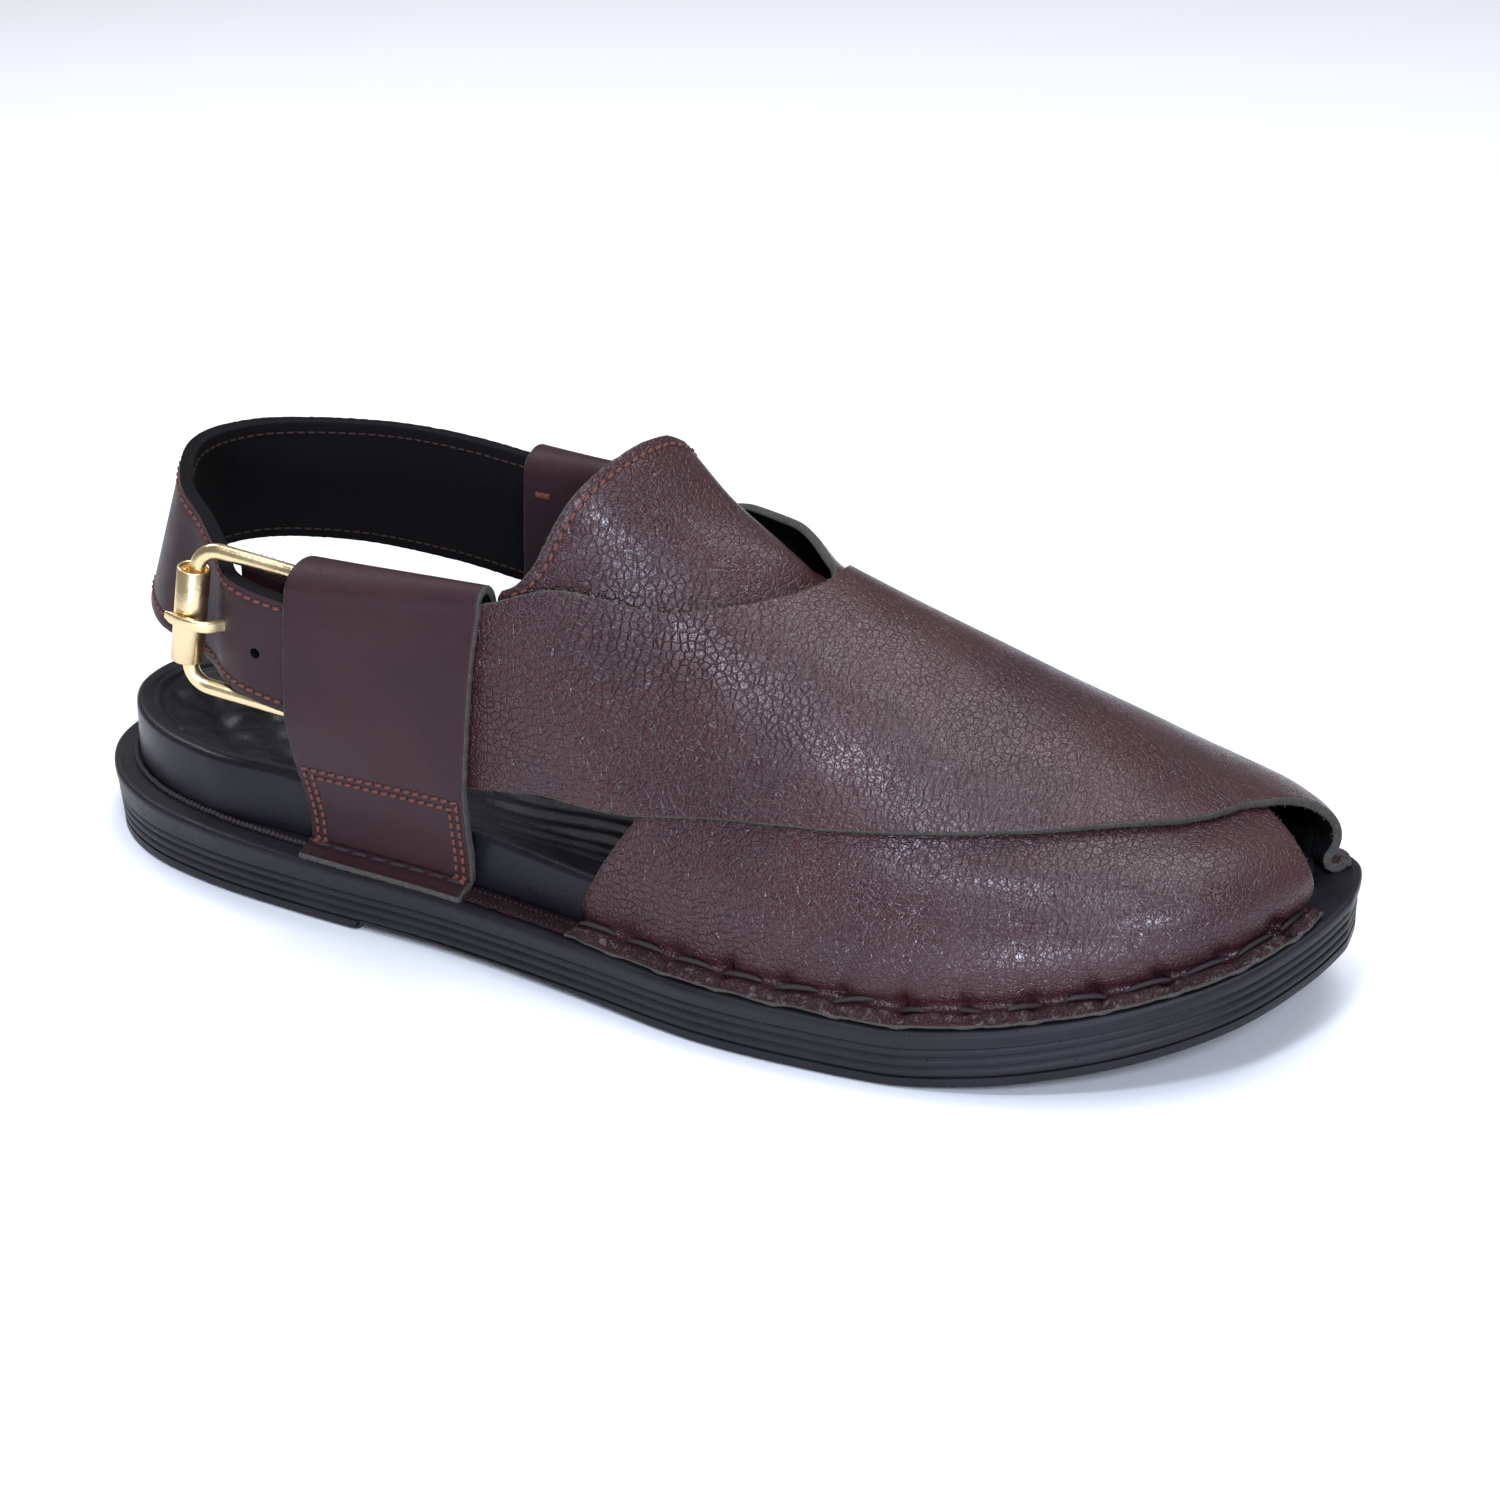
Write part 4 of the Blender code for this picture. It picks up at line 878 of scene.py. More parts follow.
def add_fibres(name, edge, normals, wall, count, seed):
    """Loose fibres that stand out of a cut edge in spread directions."""
    draw = np.random.RandomState(seed)
    at = draw.uniform(0.0, lengths(edge)[-1], count)
    normal = unit(resample(edge, at, normals))
    spots = resample(edge, at) - normal * wall * draw.uniform(0.1, 1.0, (count, 1))
    fuzz = [(spots, unit(draw.normal(size=(count, 3))), unit(draw.normal(size=(count, 3))))]
    cut = finish_named("cut_edge")
    add_stitches(name + "_fibres", fuzz, cut, FLAP_FIBRE_LENGTH, FLAP_FIBRE_RADIUS)


def add_seam(name, runs, size):
    """Machine stitches, and a dark mark of painted shade for the needle hole halfway between each two of
    them.
    """
    thread = finish_named("rust_thread")
    hole = finish_named("needle_hole_shade")
    add_stitches(name + "_stitches", runs, thread, size.stitch_length, size.thread, SEAM_TILT)
    # The needle holes are small dark capsules on the surface: painted shade standing in for the holes.
    holes = []
    for point, along, normal in runs:
        middle = (point[1:] + point[:-1]) / 2 - (normal[1:] + normal[:-1]) / 2 * 0.00006
        holes.append((middle, along[1:], normal[1:]))
    add_stitches(name + "_needle_holes", holes, hole, NEEDLE_HOLE_LENGTH, NEEDLE_HOLE_RADIUS)


# Finishes

class NodeBuilder:
    """Short calls that add nodes to a tree and link them."""

    def __init__(self, tree):
        self.tree = tree

    def node(self, kind, **values):
        """Add a node and set its properties, and its inputs where the value is under 'inputs'."""
        made = self.tree.nodes.new(kind)
        inputs = values.pop("inputs", {})
        for name, value in values.items():
            setattr(made, name, value)
        for key, value in inputs.items():
            if isinstance(value, bpy.types.NodeSocket):
                self.tree.links.new(value, made.inputs[key])
            else:
                made.inputs[key].default_value = value
        return made

    def feed(self, node, label, value):
        """Link a value to one of a node's inputs."""
        self.tree.links.new(value, node.inputs[label])

    def maths(self, operation, a, b=0.0):
        """A Math node's result."""
        return self.node("ShaderNodeMath", operation=operation, inputs={0: a, 1: b}).outputs[0]

    def vector(self, operation, inputs):
        """A Vector Math node."""
        return self.node("ShaderNodeVectorMath", operation=operation, inputs=inputs)

    def cells(self, inputs, feature):
        """A Voronoi texture's value."""
        return self.node("ShaderNodeTexVoronoi", feature=feature, inputs=inputs).outputs["Distance"]

    def ramp(self, value, low, high, to_low=0.0, to_high=1.0):
        """A smooth Map Range of a value."""
        limits = {"Value": value, "From Min": low, "From Max": high, "To Min": to_low, "To Max": to_high}
        made = self.node("ShaderNodeMapRange", interpolation_type="SMOOTHSTEP", inputs=limits)
        return made.outputs["Result"]

    def mix(self, share, a, b):
        """A colour between two."""
        return self.node("ShaderNodeMix", data_type="RGBA", inputs={0: share, 6: a, 7: b}).outputs[2]

    def noise(self, vector, scale, detail=3.0, roughness=0.55):
        """A Noise texture's value."""
        inputs = {"Vector": vector, "Scale": scale, "Detail": detail, "Roughness": roughness}
        return self.node("ShaderNodeTexNoise", inputs=inputs).outputs["Fac"]


def new_group(name, inputs, outputs):
    """An empty shader node group with float sockets and one vector input."""
    group = bpy.data.node_groups.new(name, "ShaderNodeTree")
    group.interface.new_socket("Vector", in_out="INPUT", socket_type="NodeSocketVector")
    for label, value in inputs:
        socket = group.interface.new_socket(label, in_out="INPUT", socket_type="NodeSocketFloat")
        socket.default_value = value
    for label in outputs:
        group.interface.new_socket(label, in_out="OUTPUT", socket_type="NodeSocketFloat")
    build = NodeBuilder(group)
    source = build.node("NodeGroupInput")
    sink = build.node("NodeGroupOutput")
    return group, build, source, sink


def grain_group():
    """Pebbled hide: cells of two sizes parted by thin creases, on a slightly warped lattice.

    A cell's height eases from 0 at its edge to 1 inside. Large cells show by the Pebbles amount. Fine
    noise and a soft roll are added to the height.
    """
    inputs = (("Scale", 520.0), ("Pebbles", 0.5))
    group, build, source, sink = new_group("pebbled_hide", inputs, ("Height", "CreaseShade", "Mottle"))
    vector = source.outputs["Vector"]
    warp = build.node("ShaderNodeTexNoise", inputs={"Vector": vector, "Scale": 210.0, "Detail": 2.0})
    shift = build.vector("SCALE", {0: warp.outputs["Color"], "Scale": 0.0005}).outputs[0]
    moved = build.vector("ADD", {0: vector, 1: shift}).outputs[0]
    heights = []
    for scale in (source.outputs["Scale"], build.maths("MULTIPLY", source.outputs["Scale"], 2.3)):
        edge = build.cells({"Vector": moved, "Scale": scale, "Randomness": 0.8}, "DISTANCE_TO_EDGE")
        heights.append(build.ramp(edge, 0.0, 0.14))
    patch = build.ramp(build.noise(vector, 48.0, 2.0), 0.30, 0.70, 0.45, 1.0)
    share = build.maths("MULTIPLY", source.outputs["Pebbles"], patch)
    large = build.maths("MULTIPLY", heights[0], share)
    fine = build.maths("MULTIPLY_ADD", heights[1], 0.22)
    build.feed(fine.node, 2, build.maths("MULTIPLY", build.noise(vector, 3600.0, 3.0), 0.10))
    roll = build.maths("MULTIPLY", build.noise(vector, 110.0, 2.0), 0.5)
    height = build.maths("ADD", build.maths("ADD", large, fine), roll)
    build.feed(sink, "Height", height)
    # CreaseShade is painted shade: 1 in the large cells' creases, where the leather's colour is
    # darkened.
    crease_shade_mask = build.ramp(heights[0], 0.0, 0.70, 1.0, 0.0)
    crease = build.maths("MULTIPLY", crease_shade_mask, share)
    build.feed(sink, "CreaseShade", crease)
    build.feed(sink, "Mottle", build.noise(vector, 34.0, 4.0))
    return group


def new_finish(name):
    """A material with its node tree, Principled shader and Object coordinates."""
    material = bpy.data.materials.new(name)
    material.use_nodes = True
    build = NodeBuilder(material.node_tree)
    shader = material.node_tree.nodes["Principled BSDF"]
    coordinates = build.node("ShaderNodeTexCoord").outputs["Object"]
    return material, build, shader, coordinates


def set_shader(shader, **values):
    """Set constants straight on the shader's sockets."""
    for label, value in values.items():
        shader.inputs[label.replace("_", " ")].default_value = value


def relief(build, shader, height, distance, strength=1.0):
    """Feed a height to the shader's normal through a Bump node."""
    inputs = {"Height": height, "Distance": distance, "Strength": strength}
    bump = build.node("ShaderNodeBump", inputs=inputs)
    build.feed(shader, "Normal", bump.outputs["Normal"])


def rgba(colour, gain=1.0):
    """A colour property as four numbers, made lighter or darker by a gain."""
    return (colour[0] * gain, colour[1] * gain, colour[2] * gain, 1.0)


def leather_finish(name, grain, colour, scale, pebbles, depth, gloss, shine, scuff):
    """Brown full-grain leather: pebbled height, creases darkened with painted shade, red and dark
    mottling, soft polish.

    The pebbles' amount rises from low to high toward the middle of each of the PEBBLE_SPOTS. Scuff
    mixes in worn, whitish specks.
    """
    material, build, shader, place = new_finish(name)
    low, high = pebbles
    amount = low
    for x, y, z, radius in PEBBLE_SPOTS if high > low else ():
        away = build.vector("DISTANCE", {0: place, 1: (x, y, z)}).outputs["Value"]
        near = build.ramp(away, 0.35 * radius, radius, high - low, 0.0)
        amount = build.maths("ADD", near, amount)
    inputs = {"Vector": place, "Scale": scale, "Pebbles": amount}
    hide = build.node("ShaderNodeGroup", node_tree=grain, inputs=inputs)
    dark = (colour[0] * 0.87, colour[1] * 0.90, colour[2] * 0.95, 1.0)
    red = (colour[0] * 1.14, colour[1] * 1.05, colour[2] * 1.00, 1.0)
    tone = build.mix(build.ramp(hide.outputs["Mottle"], 0.34, 0.66), dark, red)
    # Painted shade: the grain's creases are darkened toward 0.42 of the leather's colour.
    tone = build.mix(build.maths("MULTIPLY", hide.outputs["CreaseShade"], 0.80), tone, rgba(colour, 0.42))
    if scuff:
        worn = build.ramp(build.noise(place, 620.0, 5.0, 0.7), 0.52, 0.66, 0.0, scuff)
        tone = build.mix(worn, tone, (0.24, 0.22, 0.22, 1.0))
    build.feed(shader, "Base Color", tone)
    rough = build.ramp(build.noise(place, 90.0, 3.0), 0.3, 0.7, gloss - 0.04, gloss + 0.07)
    build.feed(shader, "Roughness", rough)
    relief(build, shader, hide.outputs["Height"], depth)
    set_shader(shader, Specular_IOR_Level=shine)
    return material


def fibre_finish(name, colour):
    """Cut leather edge: matt grey-olive fibres."""
    material, build, shader, place = new_finish(name)
    fuzz = build.noise(place, 2600.0, 5.0, 0.7)
    tone = build.mix(build.ramp(fuzz, 0.3, 0.7), rgba(colour, 0.55), rgba(colour, 1.5))
    build.feed(shader, "Base Color", tone)
    relief(build, shader, fuzz, 0.0005)
    set_shader(shader, Roughness=0.95)
    return material


def lining_finish(name, colour):
    """Black lining leather: fine close grain, nearly matt."""
    material, build, shader, place = new_finish(name)
    fine = build.noise(place, 1500.0, 4.0, 0.6)
    build.feed(shader, "Base Color", build.mix(fine, rgba(colour, 0.8), rgba(colour, 1.3)))
    relief(build, shader, fine, 0.00025)
    set_shader(shader, Roughness=0.85, Specular_IOR_Level=0.14)
    return material


def thread_finish(name, colour):
    """Twisted sewing thread."""
    material, build, shader, place = new_finish(name)
    fuzz = build.noise(place, 4200.0, 3.0, 0.6)
    build.feed(shader, "Base Color", build.mix(fuzz, rgba(colour, 0.6), rgba(colour, 1.5)))
    relief(build, shader, fuzz, 0.0002)
    set_shader(shader, Roughness=0.75)
    return material


def rubber_finish(name, colour, gloss, pits):
    """Black moulded rubber: slight mottle in its gloss, fine pits and dust."""
    material, build, shader, place = new_finish(name)
    mottle = build.noise(place, 60.0, 4.0, 0.6)
    fine = build.noise(place, 1800.0, 3.0, 0.6)
    holes = build.cells({"Vector": place, "Scale": 430.0}, "F1")
    pit = build.ramp(holes, 0.06, 0.14)
    tone = build.mix(build.ramp(mottle, 0.3, 0.7), rgba(colour, 0.85), rgba(colour, 1.25))
    build.feed(shader, "Base Color", tone)
    rough = build.ramp(mottle, 0.3, 0.7, gloss - 0.06, gloss + 0.08)
    build.feed(shader, "Roughness", rough)
    height = build.maths("ADD", build.maths("MULTIPLY", fine, 0.35), build.maths("MULTIPLY", pit, pits))
    relief(build, shader, height, 0.0002)
    set_shader(shader, Specular_IOR_Level=0.2)
    return material


def brass_finish(name, colour):
    """Warm gold brass, rolled and lightly scratched."""
    material, build, shader, place = new_finish(name)
    fine = build.noise(place, 900.0, 4.0, 0.6)
    wear = build.noise(place, 140.0, 3.0, 0.5)
    build.feed(shader, "Base Color", build.mix(wear, rgba(colour, 0.86), rgba(colour, 1.06)))
    build.feed(shader, "Roughness", build.ramp(wear, 0.3, 0.7, 0.20, 0.34))
    relief(build, shader, fine, 0.0001, 0.6)
    set_shader(shader, Metallic=1.0)
    return material


def finish_named(name):
    """A finish made earlier in this run."""
    return bpy.data.materials[name]


def finishes_named(*names):
    """Finishes made earlier in this run, as a list."""
    return [finish_named(name) for name in names]


# Properties

def length_property(name, description, default):
    """A length in metres."""
    return bpy.props.FloatProperty(
        name=name, description=description, default=default, min=0.0, unit="LENGTH"
    )


def colour_property(name, description, default):
    """A linear colour."""
    return bpy.props.FloatVectorProperty(
        name=name, description=description, default=default, min=0.0, max=1.0, subtype="COLOR"
    )


class ChappalSizes(bpy.types.PropertyGroup):
    """Sizes that a maker would change."""

    wall: length_property("Leather", "Thickness of the flaps and loops", 0.0018)
    tongue_wall: length_property("Tongue", "Thickness of the two-ply tongue", 0.0022)
    strap_wall: length_property("Strap", "Thickness of the lined heel strap", 0.0030)
    chape_wall: length_property("Guard", "Thickness of the buckle guard", 0.0016)
    margin: length_property("Margin", "Width of the leather turned out over the ledge", 0.0050)
    stitch_pitch: length_property("Stitch pitch", "Pitch of the machine stitches", 0.0023)
    stitch_length: length_property("Stitch length", "Length of a machine stitch", 0.0018)
    thread: length_property("Thread", "Radius of the sewing thread", 0.00041)
    welt_pitch: length_property("Sole stitch pitch", "Pitch of the hand stitches at the ledge", 0.0125)
    rib_depth: length_property("Rib depth", "Depth of the grooves round the sole's side", 0.0007)
    rib_pitch: length_property("Rib pitch", "Pitch of the ribs round the sole's side", 0.00225)
    plain_band: length_property("Plain band", "Height of the plain band under the ribs", 0.0025)
    wire: length_property("Wire", "Diameter of the buckle's wire", 0.0034)
    roller: length_property("Roller", "Diameter of the buckle's roller", 0.0070)
    roller_length: length_property("Roller length", "Length of the buckle's roller", 0.0215)
    prong_width: length_property("Prong width", "Width of the buckle's prong", 0.0028)
    prong_wall: length_property("Prong thickness", "Thickness of the buckle's prong", 0.0016)
    spare_hole: length_property("Spare hole", "Diameter of the strap's spare hole", 0.0024)


class ChappalColours(bpy.types.PropertyGroup):
    """Colours that a user would change."""

    leather: colour_property("Leather", "Brown of the pebbled leather", (0.0375, 0.0124, 0.0146))
    raw_edge: colour_property("Cut edge", "Grey-olive of cut leather", (0.060, 0.055, 0.046))
    lining: colour_property("Lining", "Black of the strap's lining", (0.0036, 0.0030, 0.0035))
    thread: colour_property("Thread", "Rust of the machine stitches", (0.120, 0.033, 0.023))
    sole_thread: colour_property("Sole thread", "Dark thread at the ledge", (0.022, 0.013, 0.013))
    sole: colour_property("Sole", "Black of the outsole", (0.0105, 0.0095, 0.0125))
    footbed: colour_property("Footbed", "Black of the footbed", (0.0085, 0.0078, 0.0102))
    brass: colour_property("Brass", "Gold of the buckle", (0.84, 0.66, 0.38))
    floor: colour_property("Floor", "Pale studio floor", (0.90, 0.90, 0.92))


def sizes():
    """The scene's sizes."""
    return bpy.context.scene.chappal_sizes


def colours():
    """The scene's colours."""
    return bpy.context.scene.chappal_colours


# Flaps

def even_rows(table, count, wall):
    """Shares along a flap that put its rows at even distances over the last."""
    share = np.linspace(0.0, 1.0, 96)
    plan = flap_plan(table, share, np.linspace(0.0, 1.0, 15))[0]
    grid = last_surface(plan[..., 0], plan[..., 1], wall)
    total = mean_run(grid, 0)
    return np.interp(np.linspace(0.0, total[-1], count), total, share)


def turned_out(grid, line, outward, size):
    """A flap's grid with its foot bent out over the ledge as a puckered margin, and its walls.

    The bend is a quarter turn: foot + up r (1 - sin t) + out r (1 - cos t). Ahead of it the margin
    lies on the ledge, pared thin toward its edge, and swells between the stitches.
    """
    foot = grid[-1]
    gap = np.linalg.norm(grid[:-1] - foot, axis=-1).mean(axis=1)
    keep = int((gap > 1.25 * FOLD_RADIUS).sum())
    rise = unit(grid[keep - 1] - foot)
    out = np.column_stack([outward, np.zeros(len(outward))])
    rows = []
    walls = [np.full(grid.shape[1], size.wall)] * keep
    for turn in np.linspace(0.0, math.pi / 2, 7):
        up = FOLD_RADIUS * (1 - math.sin(turn))
        across = FOLD_RADIUS * (1 - math.cos(turn))
        rows.append(foot + rise * up + out * across)
        walls.append(walls[0])
    run = lengths(np.column_stack([line, np.zeros(len(line))]))
    end = smoothstep(np.minimum(run, run[-1] - run) / 0.006)
    for share in np.linspace(0.0, 1.0, 11)[1:]:
        wave = 0.00022 * ripple(run[:, None], 0.016, 4) * share
        reach = FOLD_RADIUS + (size.margin * (0.82 + 0.18 * end) - FOLD_RADIUS) * share + wave
        plan = line + outward * reach[:, None]
        wall = size.wall * (1.0 - 0.52 * smoothstep(1.3 * share))
        swell = 0.00050 * (1 - pull_at(run, size.welt_pitch)) * math.sin(math.pi * share) ** 0.8
        creep = 0.00016 * ripple(plan, 0.0024, 5) * math.sin(math.pi * min(1.0, share + 0.1))
        height = ledge_at(plan) + CLEARANCE + wall + swell + creep
        rows.append(np.column_stack([plan, height]))
        walls.append(np.full(grid.shape[1], wall) + swell)
    made = np.concatenate([grid[:keep], np.array(rows)], axis=0)
    return made, np.array(walls), keep, run


def pull_at(run, pitch):
    """1 at the hand stitches' holes, which stand half a pitch off the stitches' middles, 0 between."""
    return np.abs(np.cos(math.pi * run / pitch)) ** 15


def puckers(grid, keep, run, pitch, depth):
    """Wrinkles that the sole stitches pull in the wall and the margin.

    Depth = d (e^-(height / 3 mm) times the pull of the nearest hole, plus fine wrinkles that spread
    from each hole, cos(10 pi run / pitch + height / 1.4 mm) e^-(height / 3.4 mm), plus a crease along
    the foot). The margin counts as 2.2 times higher than the wall.
    """
    foot = grid[keep + 3]
    high = np.linalg.norm(grid - foot[None], axis=-1)
    signed = np.where(np.arange(len(grid))[:, None] <= keep + 3, high, -2.2 * high)
    pull = pull_at(run, pitch) * (0.8 + 0.35 * ripple(run[:, None], 0.03, 11))
    fade = np.exp(-np.abs(signed) / 0.0030)
    spread = 0.5 + 0.5 * np.cos(2 * math.pi * run[None] / pitch)
    fine = np.cos(10 * math.pi * run[None] / pitch + high * 700.0 + 2.0 * ripple(grid, 0.011, 9))
    fine = fine * np.exp(-np.abs(signed) / 0.0034) * (0.35 + spread)
    crease = bump_at(signed, 0.0, 0.0011)
    sunk = depth * (fade * pull[None] + 0.11 * fine + 0.30 * crease)
    return grid - grid_normals(grid) * sunk[..., None]


def flap_grid(table, offset, flip, rows=170, columns=150):
    """Outer face of one crossed flap, with its turned-out and puckered margin."""
    size = sizes()
    share = np.linspace(0.0, 1.0, columns)
    share = share + 0.25 * share * (1.0 - share)
    plan, line, outward = flap_plan(table, even_rows(table, rows, size.wall), share)
    grid = last_surface(plan[..., 0], plan[..., 1], size.wall)
    if offset:
        grid = grid + grid_normals(grid) * offset(plan, size.wall)[..., None]
    grid, walls, keep, run = turned_out(grid, line, outward, size)
    sign = -1.0 if flip else 1.0
    grid = puckers(grid, keep, run, size.welt_pitch, sign * PUCKER_DEPTH)
    return grid, walls, keep


def under_flap_offset(plan, wall):
    """How far the under flap stands off the last: sunk under the top flap, open at its rear edge."""
    along = along_at(plan[..., 0])
    sunk = (wall - SEAT) * cover(plan, TOP_FLAP, LAP_RUN)
    lower_edge = edge_nearness(plan, flap_edges(TOP_FLAP)[1], 2 * LAP_RUN)
    gap = EDGE_GAP * lower_edge * smoothstep((along - 0.50) / 0.30)
    rear_edge = edge_nearness(plan, flap_edges(UNDER_FLAP)[0], 2 * LAP_RUN)
    window = smoothstep((along - 0.475) / 0.05) * smoothstep((0.617 - along) / 0.05)
    stand = EDGE_STAND * rear_edge * window * (plan[..., 1] > 0.0)
    return stand - sunk - gap


def add_flap(name, made, flip, wall):
    """One flap's leather, the hand stitches in the crease over its margin, and its edge's fibres."""
    grid, walls, keep = made
    leather = finishes_named("pebbled_leather", "lining_leather", "cut_edge", "scuffed_leather")
    normals = grid_normals(grid) * (-1.0 if flip else 1.0)
    crease = keep + 4
    path = grid[crease] + normals[crease] * SOLE_STITCH_LIFT
    pitch = sizes().welt_pitch
    middles = np.arange(0.5 * pitch, lengths(path)[-1] - 0.3 * pitch, pitch)
    step = 0.0004
    along = unit(resample(path, middles + step) - resample(path, middles - step))
    normal = unit(resample(path, middles, normals[crease]))
    runs = [(resample(path, middles), along, normal)]
    thread = finish_named("sole_thread")
    length = SOLE_STITCH_SHARE * pitch
    add_stitches(name + "_sole_stitches", runs, thread, length, SOLE_STITCH_RADIUS, 0.04)
    last = keep - 4
    add_fibres(name, grid[:last, -1], normals[:last, -1], wall, FLAP_FIBRES, 31)
    if flip:
        grid = grid[:, ::-1]
        walls = walls[:, ::-1]
    add_leather(name, grid, walls, leather, ("upper",), margin=keep + 6)


# Operators

class CHAPPAL_OT_finishes(bpy.types.Operator):
    """Make the leathers, rubbers, threads and brass"""

    bl_idname = "chappal.finishes"
    bl_label = "Finishes"

    def execute(self, context):
        """Build the grain group once and every finish from it."""
        shade = colours()
        grain = grain_group()
        for name, tint, *look in LEATHERS:
            leather_finish(name, grain, [a * b for a, b in zip(tint, shade.leather)], *look)
        lining_finish("lining_leather", shade.lining)
        fibre_finish("cut_edge", shade.raw_edge)
        thread_finish("rust_thread", shade.thread)
        thread_finish("sole_thread", shade.sole_thread)
        thread_finish("lining_thread", [0.22 * value for value in shade.thread])
        # Painted shade for the needle holes: a fifth of the sole thread's colour.
        thread_finish("needle_hole_shade", [0.2 * value for value in shade.sole_thread])
        rubber_finish("sole_rubber", shade.sole, 0.46, 0.5)
        rubber_finish("footbed_rubber", shade.footbed, 0.33, 0.15)
        brass_finish("gold_brass", shade.brass)
        return {"FINISHED"}


class CHAPPAL_OT_flaps(bpy.types.Operator):
    """Make the two crossed flaps of the vamp"""

    bl_idname = "chappal.flaps"
    bl_label = "Crossed flaps"

    def execute(self, context):
        """The under flap first, then the top flap over it."""
        size = sizes()
        add_flap("under_flap", flap_grid(UNDER_FLAP, under_flap_offset, False), False, size.wall)
        add_flap("top_flap", flap_grid(TOP_FLAP, None, True), True, size.wall)
        return {"FINISHED"}


class CHAPPAL_OT_tongue(bpy.types.Operator):
    """Make the two-ply tongue with its edge stitching"""

    bl_idname = "chappal.tongue"
    bl_label = "Tongue"

    def execute(self, context):
        """A grid from the shaped rear edge down under the flaps, and stitches inside that edge."""
        size = sizes()
        shares = np.linspace(TONGUE_EDGE[0][0], TONGUE_EDGE[-1][0], 130)
        rear = monotone(shares, column(TONGUE_EDGE, 0), column(TONGUE_EDGE, 1))
        t = np.linspace(0.0, 1.0, 90)[:, None]
        along = rear[None, :] * (1 - t) + TONGUE_FRONT * t
        across = shares * (1.0 - TONGUE_TAPER * t)
        ridge_y = ridge(along)[0]
        x = x_at(along)
        y = ridge_y + np.abs(across) * (feather_y(x, across < 0) - ridge_y)
        grid = last_surface(x, y, size.wall)
        plan = np.stack([x, y], axis=-1)
        under = cover(plan, UNDER_FLAP, 1.4 * LAP_RUN)
        covered = np.maximum(cover(plan, TOP_FLAP, 1.4 * LAP_RUN), under)
        sunk = (size.wall + TONGUE_GAP) * covered + (size.wall - SEAT + EDGE_GAP) * under
        grid = grid - grid_normals(grid) * sunk[..., None]
        down = np.linalg.norm(np.diff(grid, axis=0), axis=-1)
        fall = np.vstack([np.zeros(grid.shape[1]), np.cumsum(down, axis=0)])
        columns = np.arange(3, grid.shape[1] - 3)
        rows = np.array([np.interp(0.0021, fall[:, c], np.arange(grid.shape[0])) for c in columns])
        path = (rows, columns.astype(float))
        grid = press(grid, sample(grid, *path), 0.00022, SEAM_GROOVE)
        leather = finishes_named("pebbled_leather", "lining_leather", "cut_edge")
        add_leather("tongue", grid, size.tongue_wall, leather, ("tongue",), plies=2)
        add_seam("tongue", [seam_run(grid, grid_normals(grid), path, size.stitch_pitch)], size)
        return {"FINISHED"}


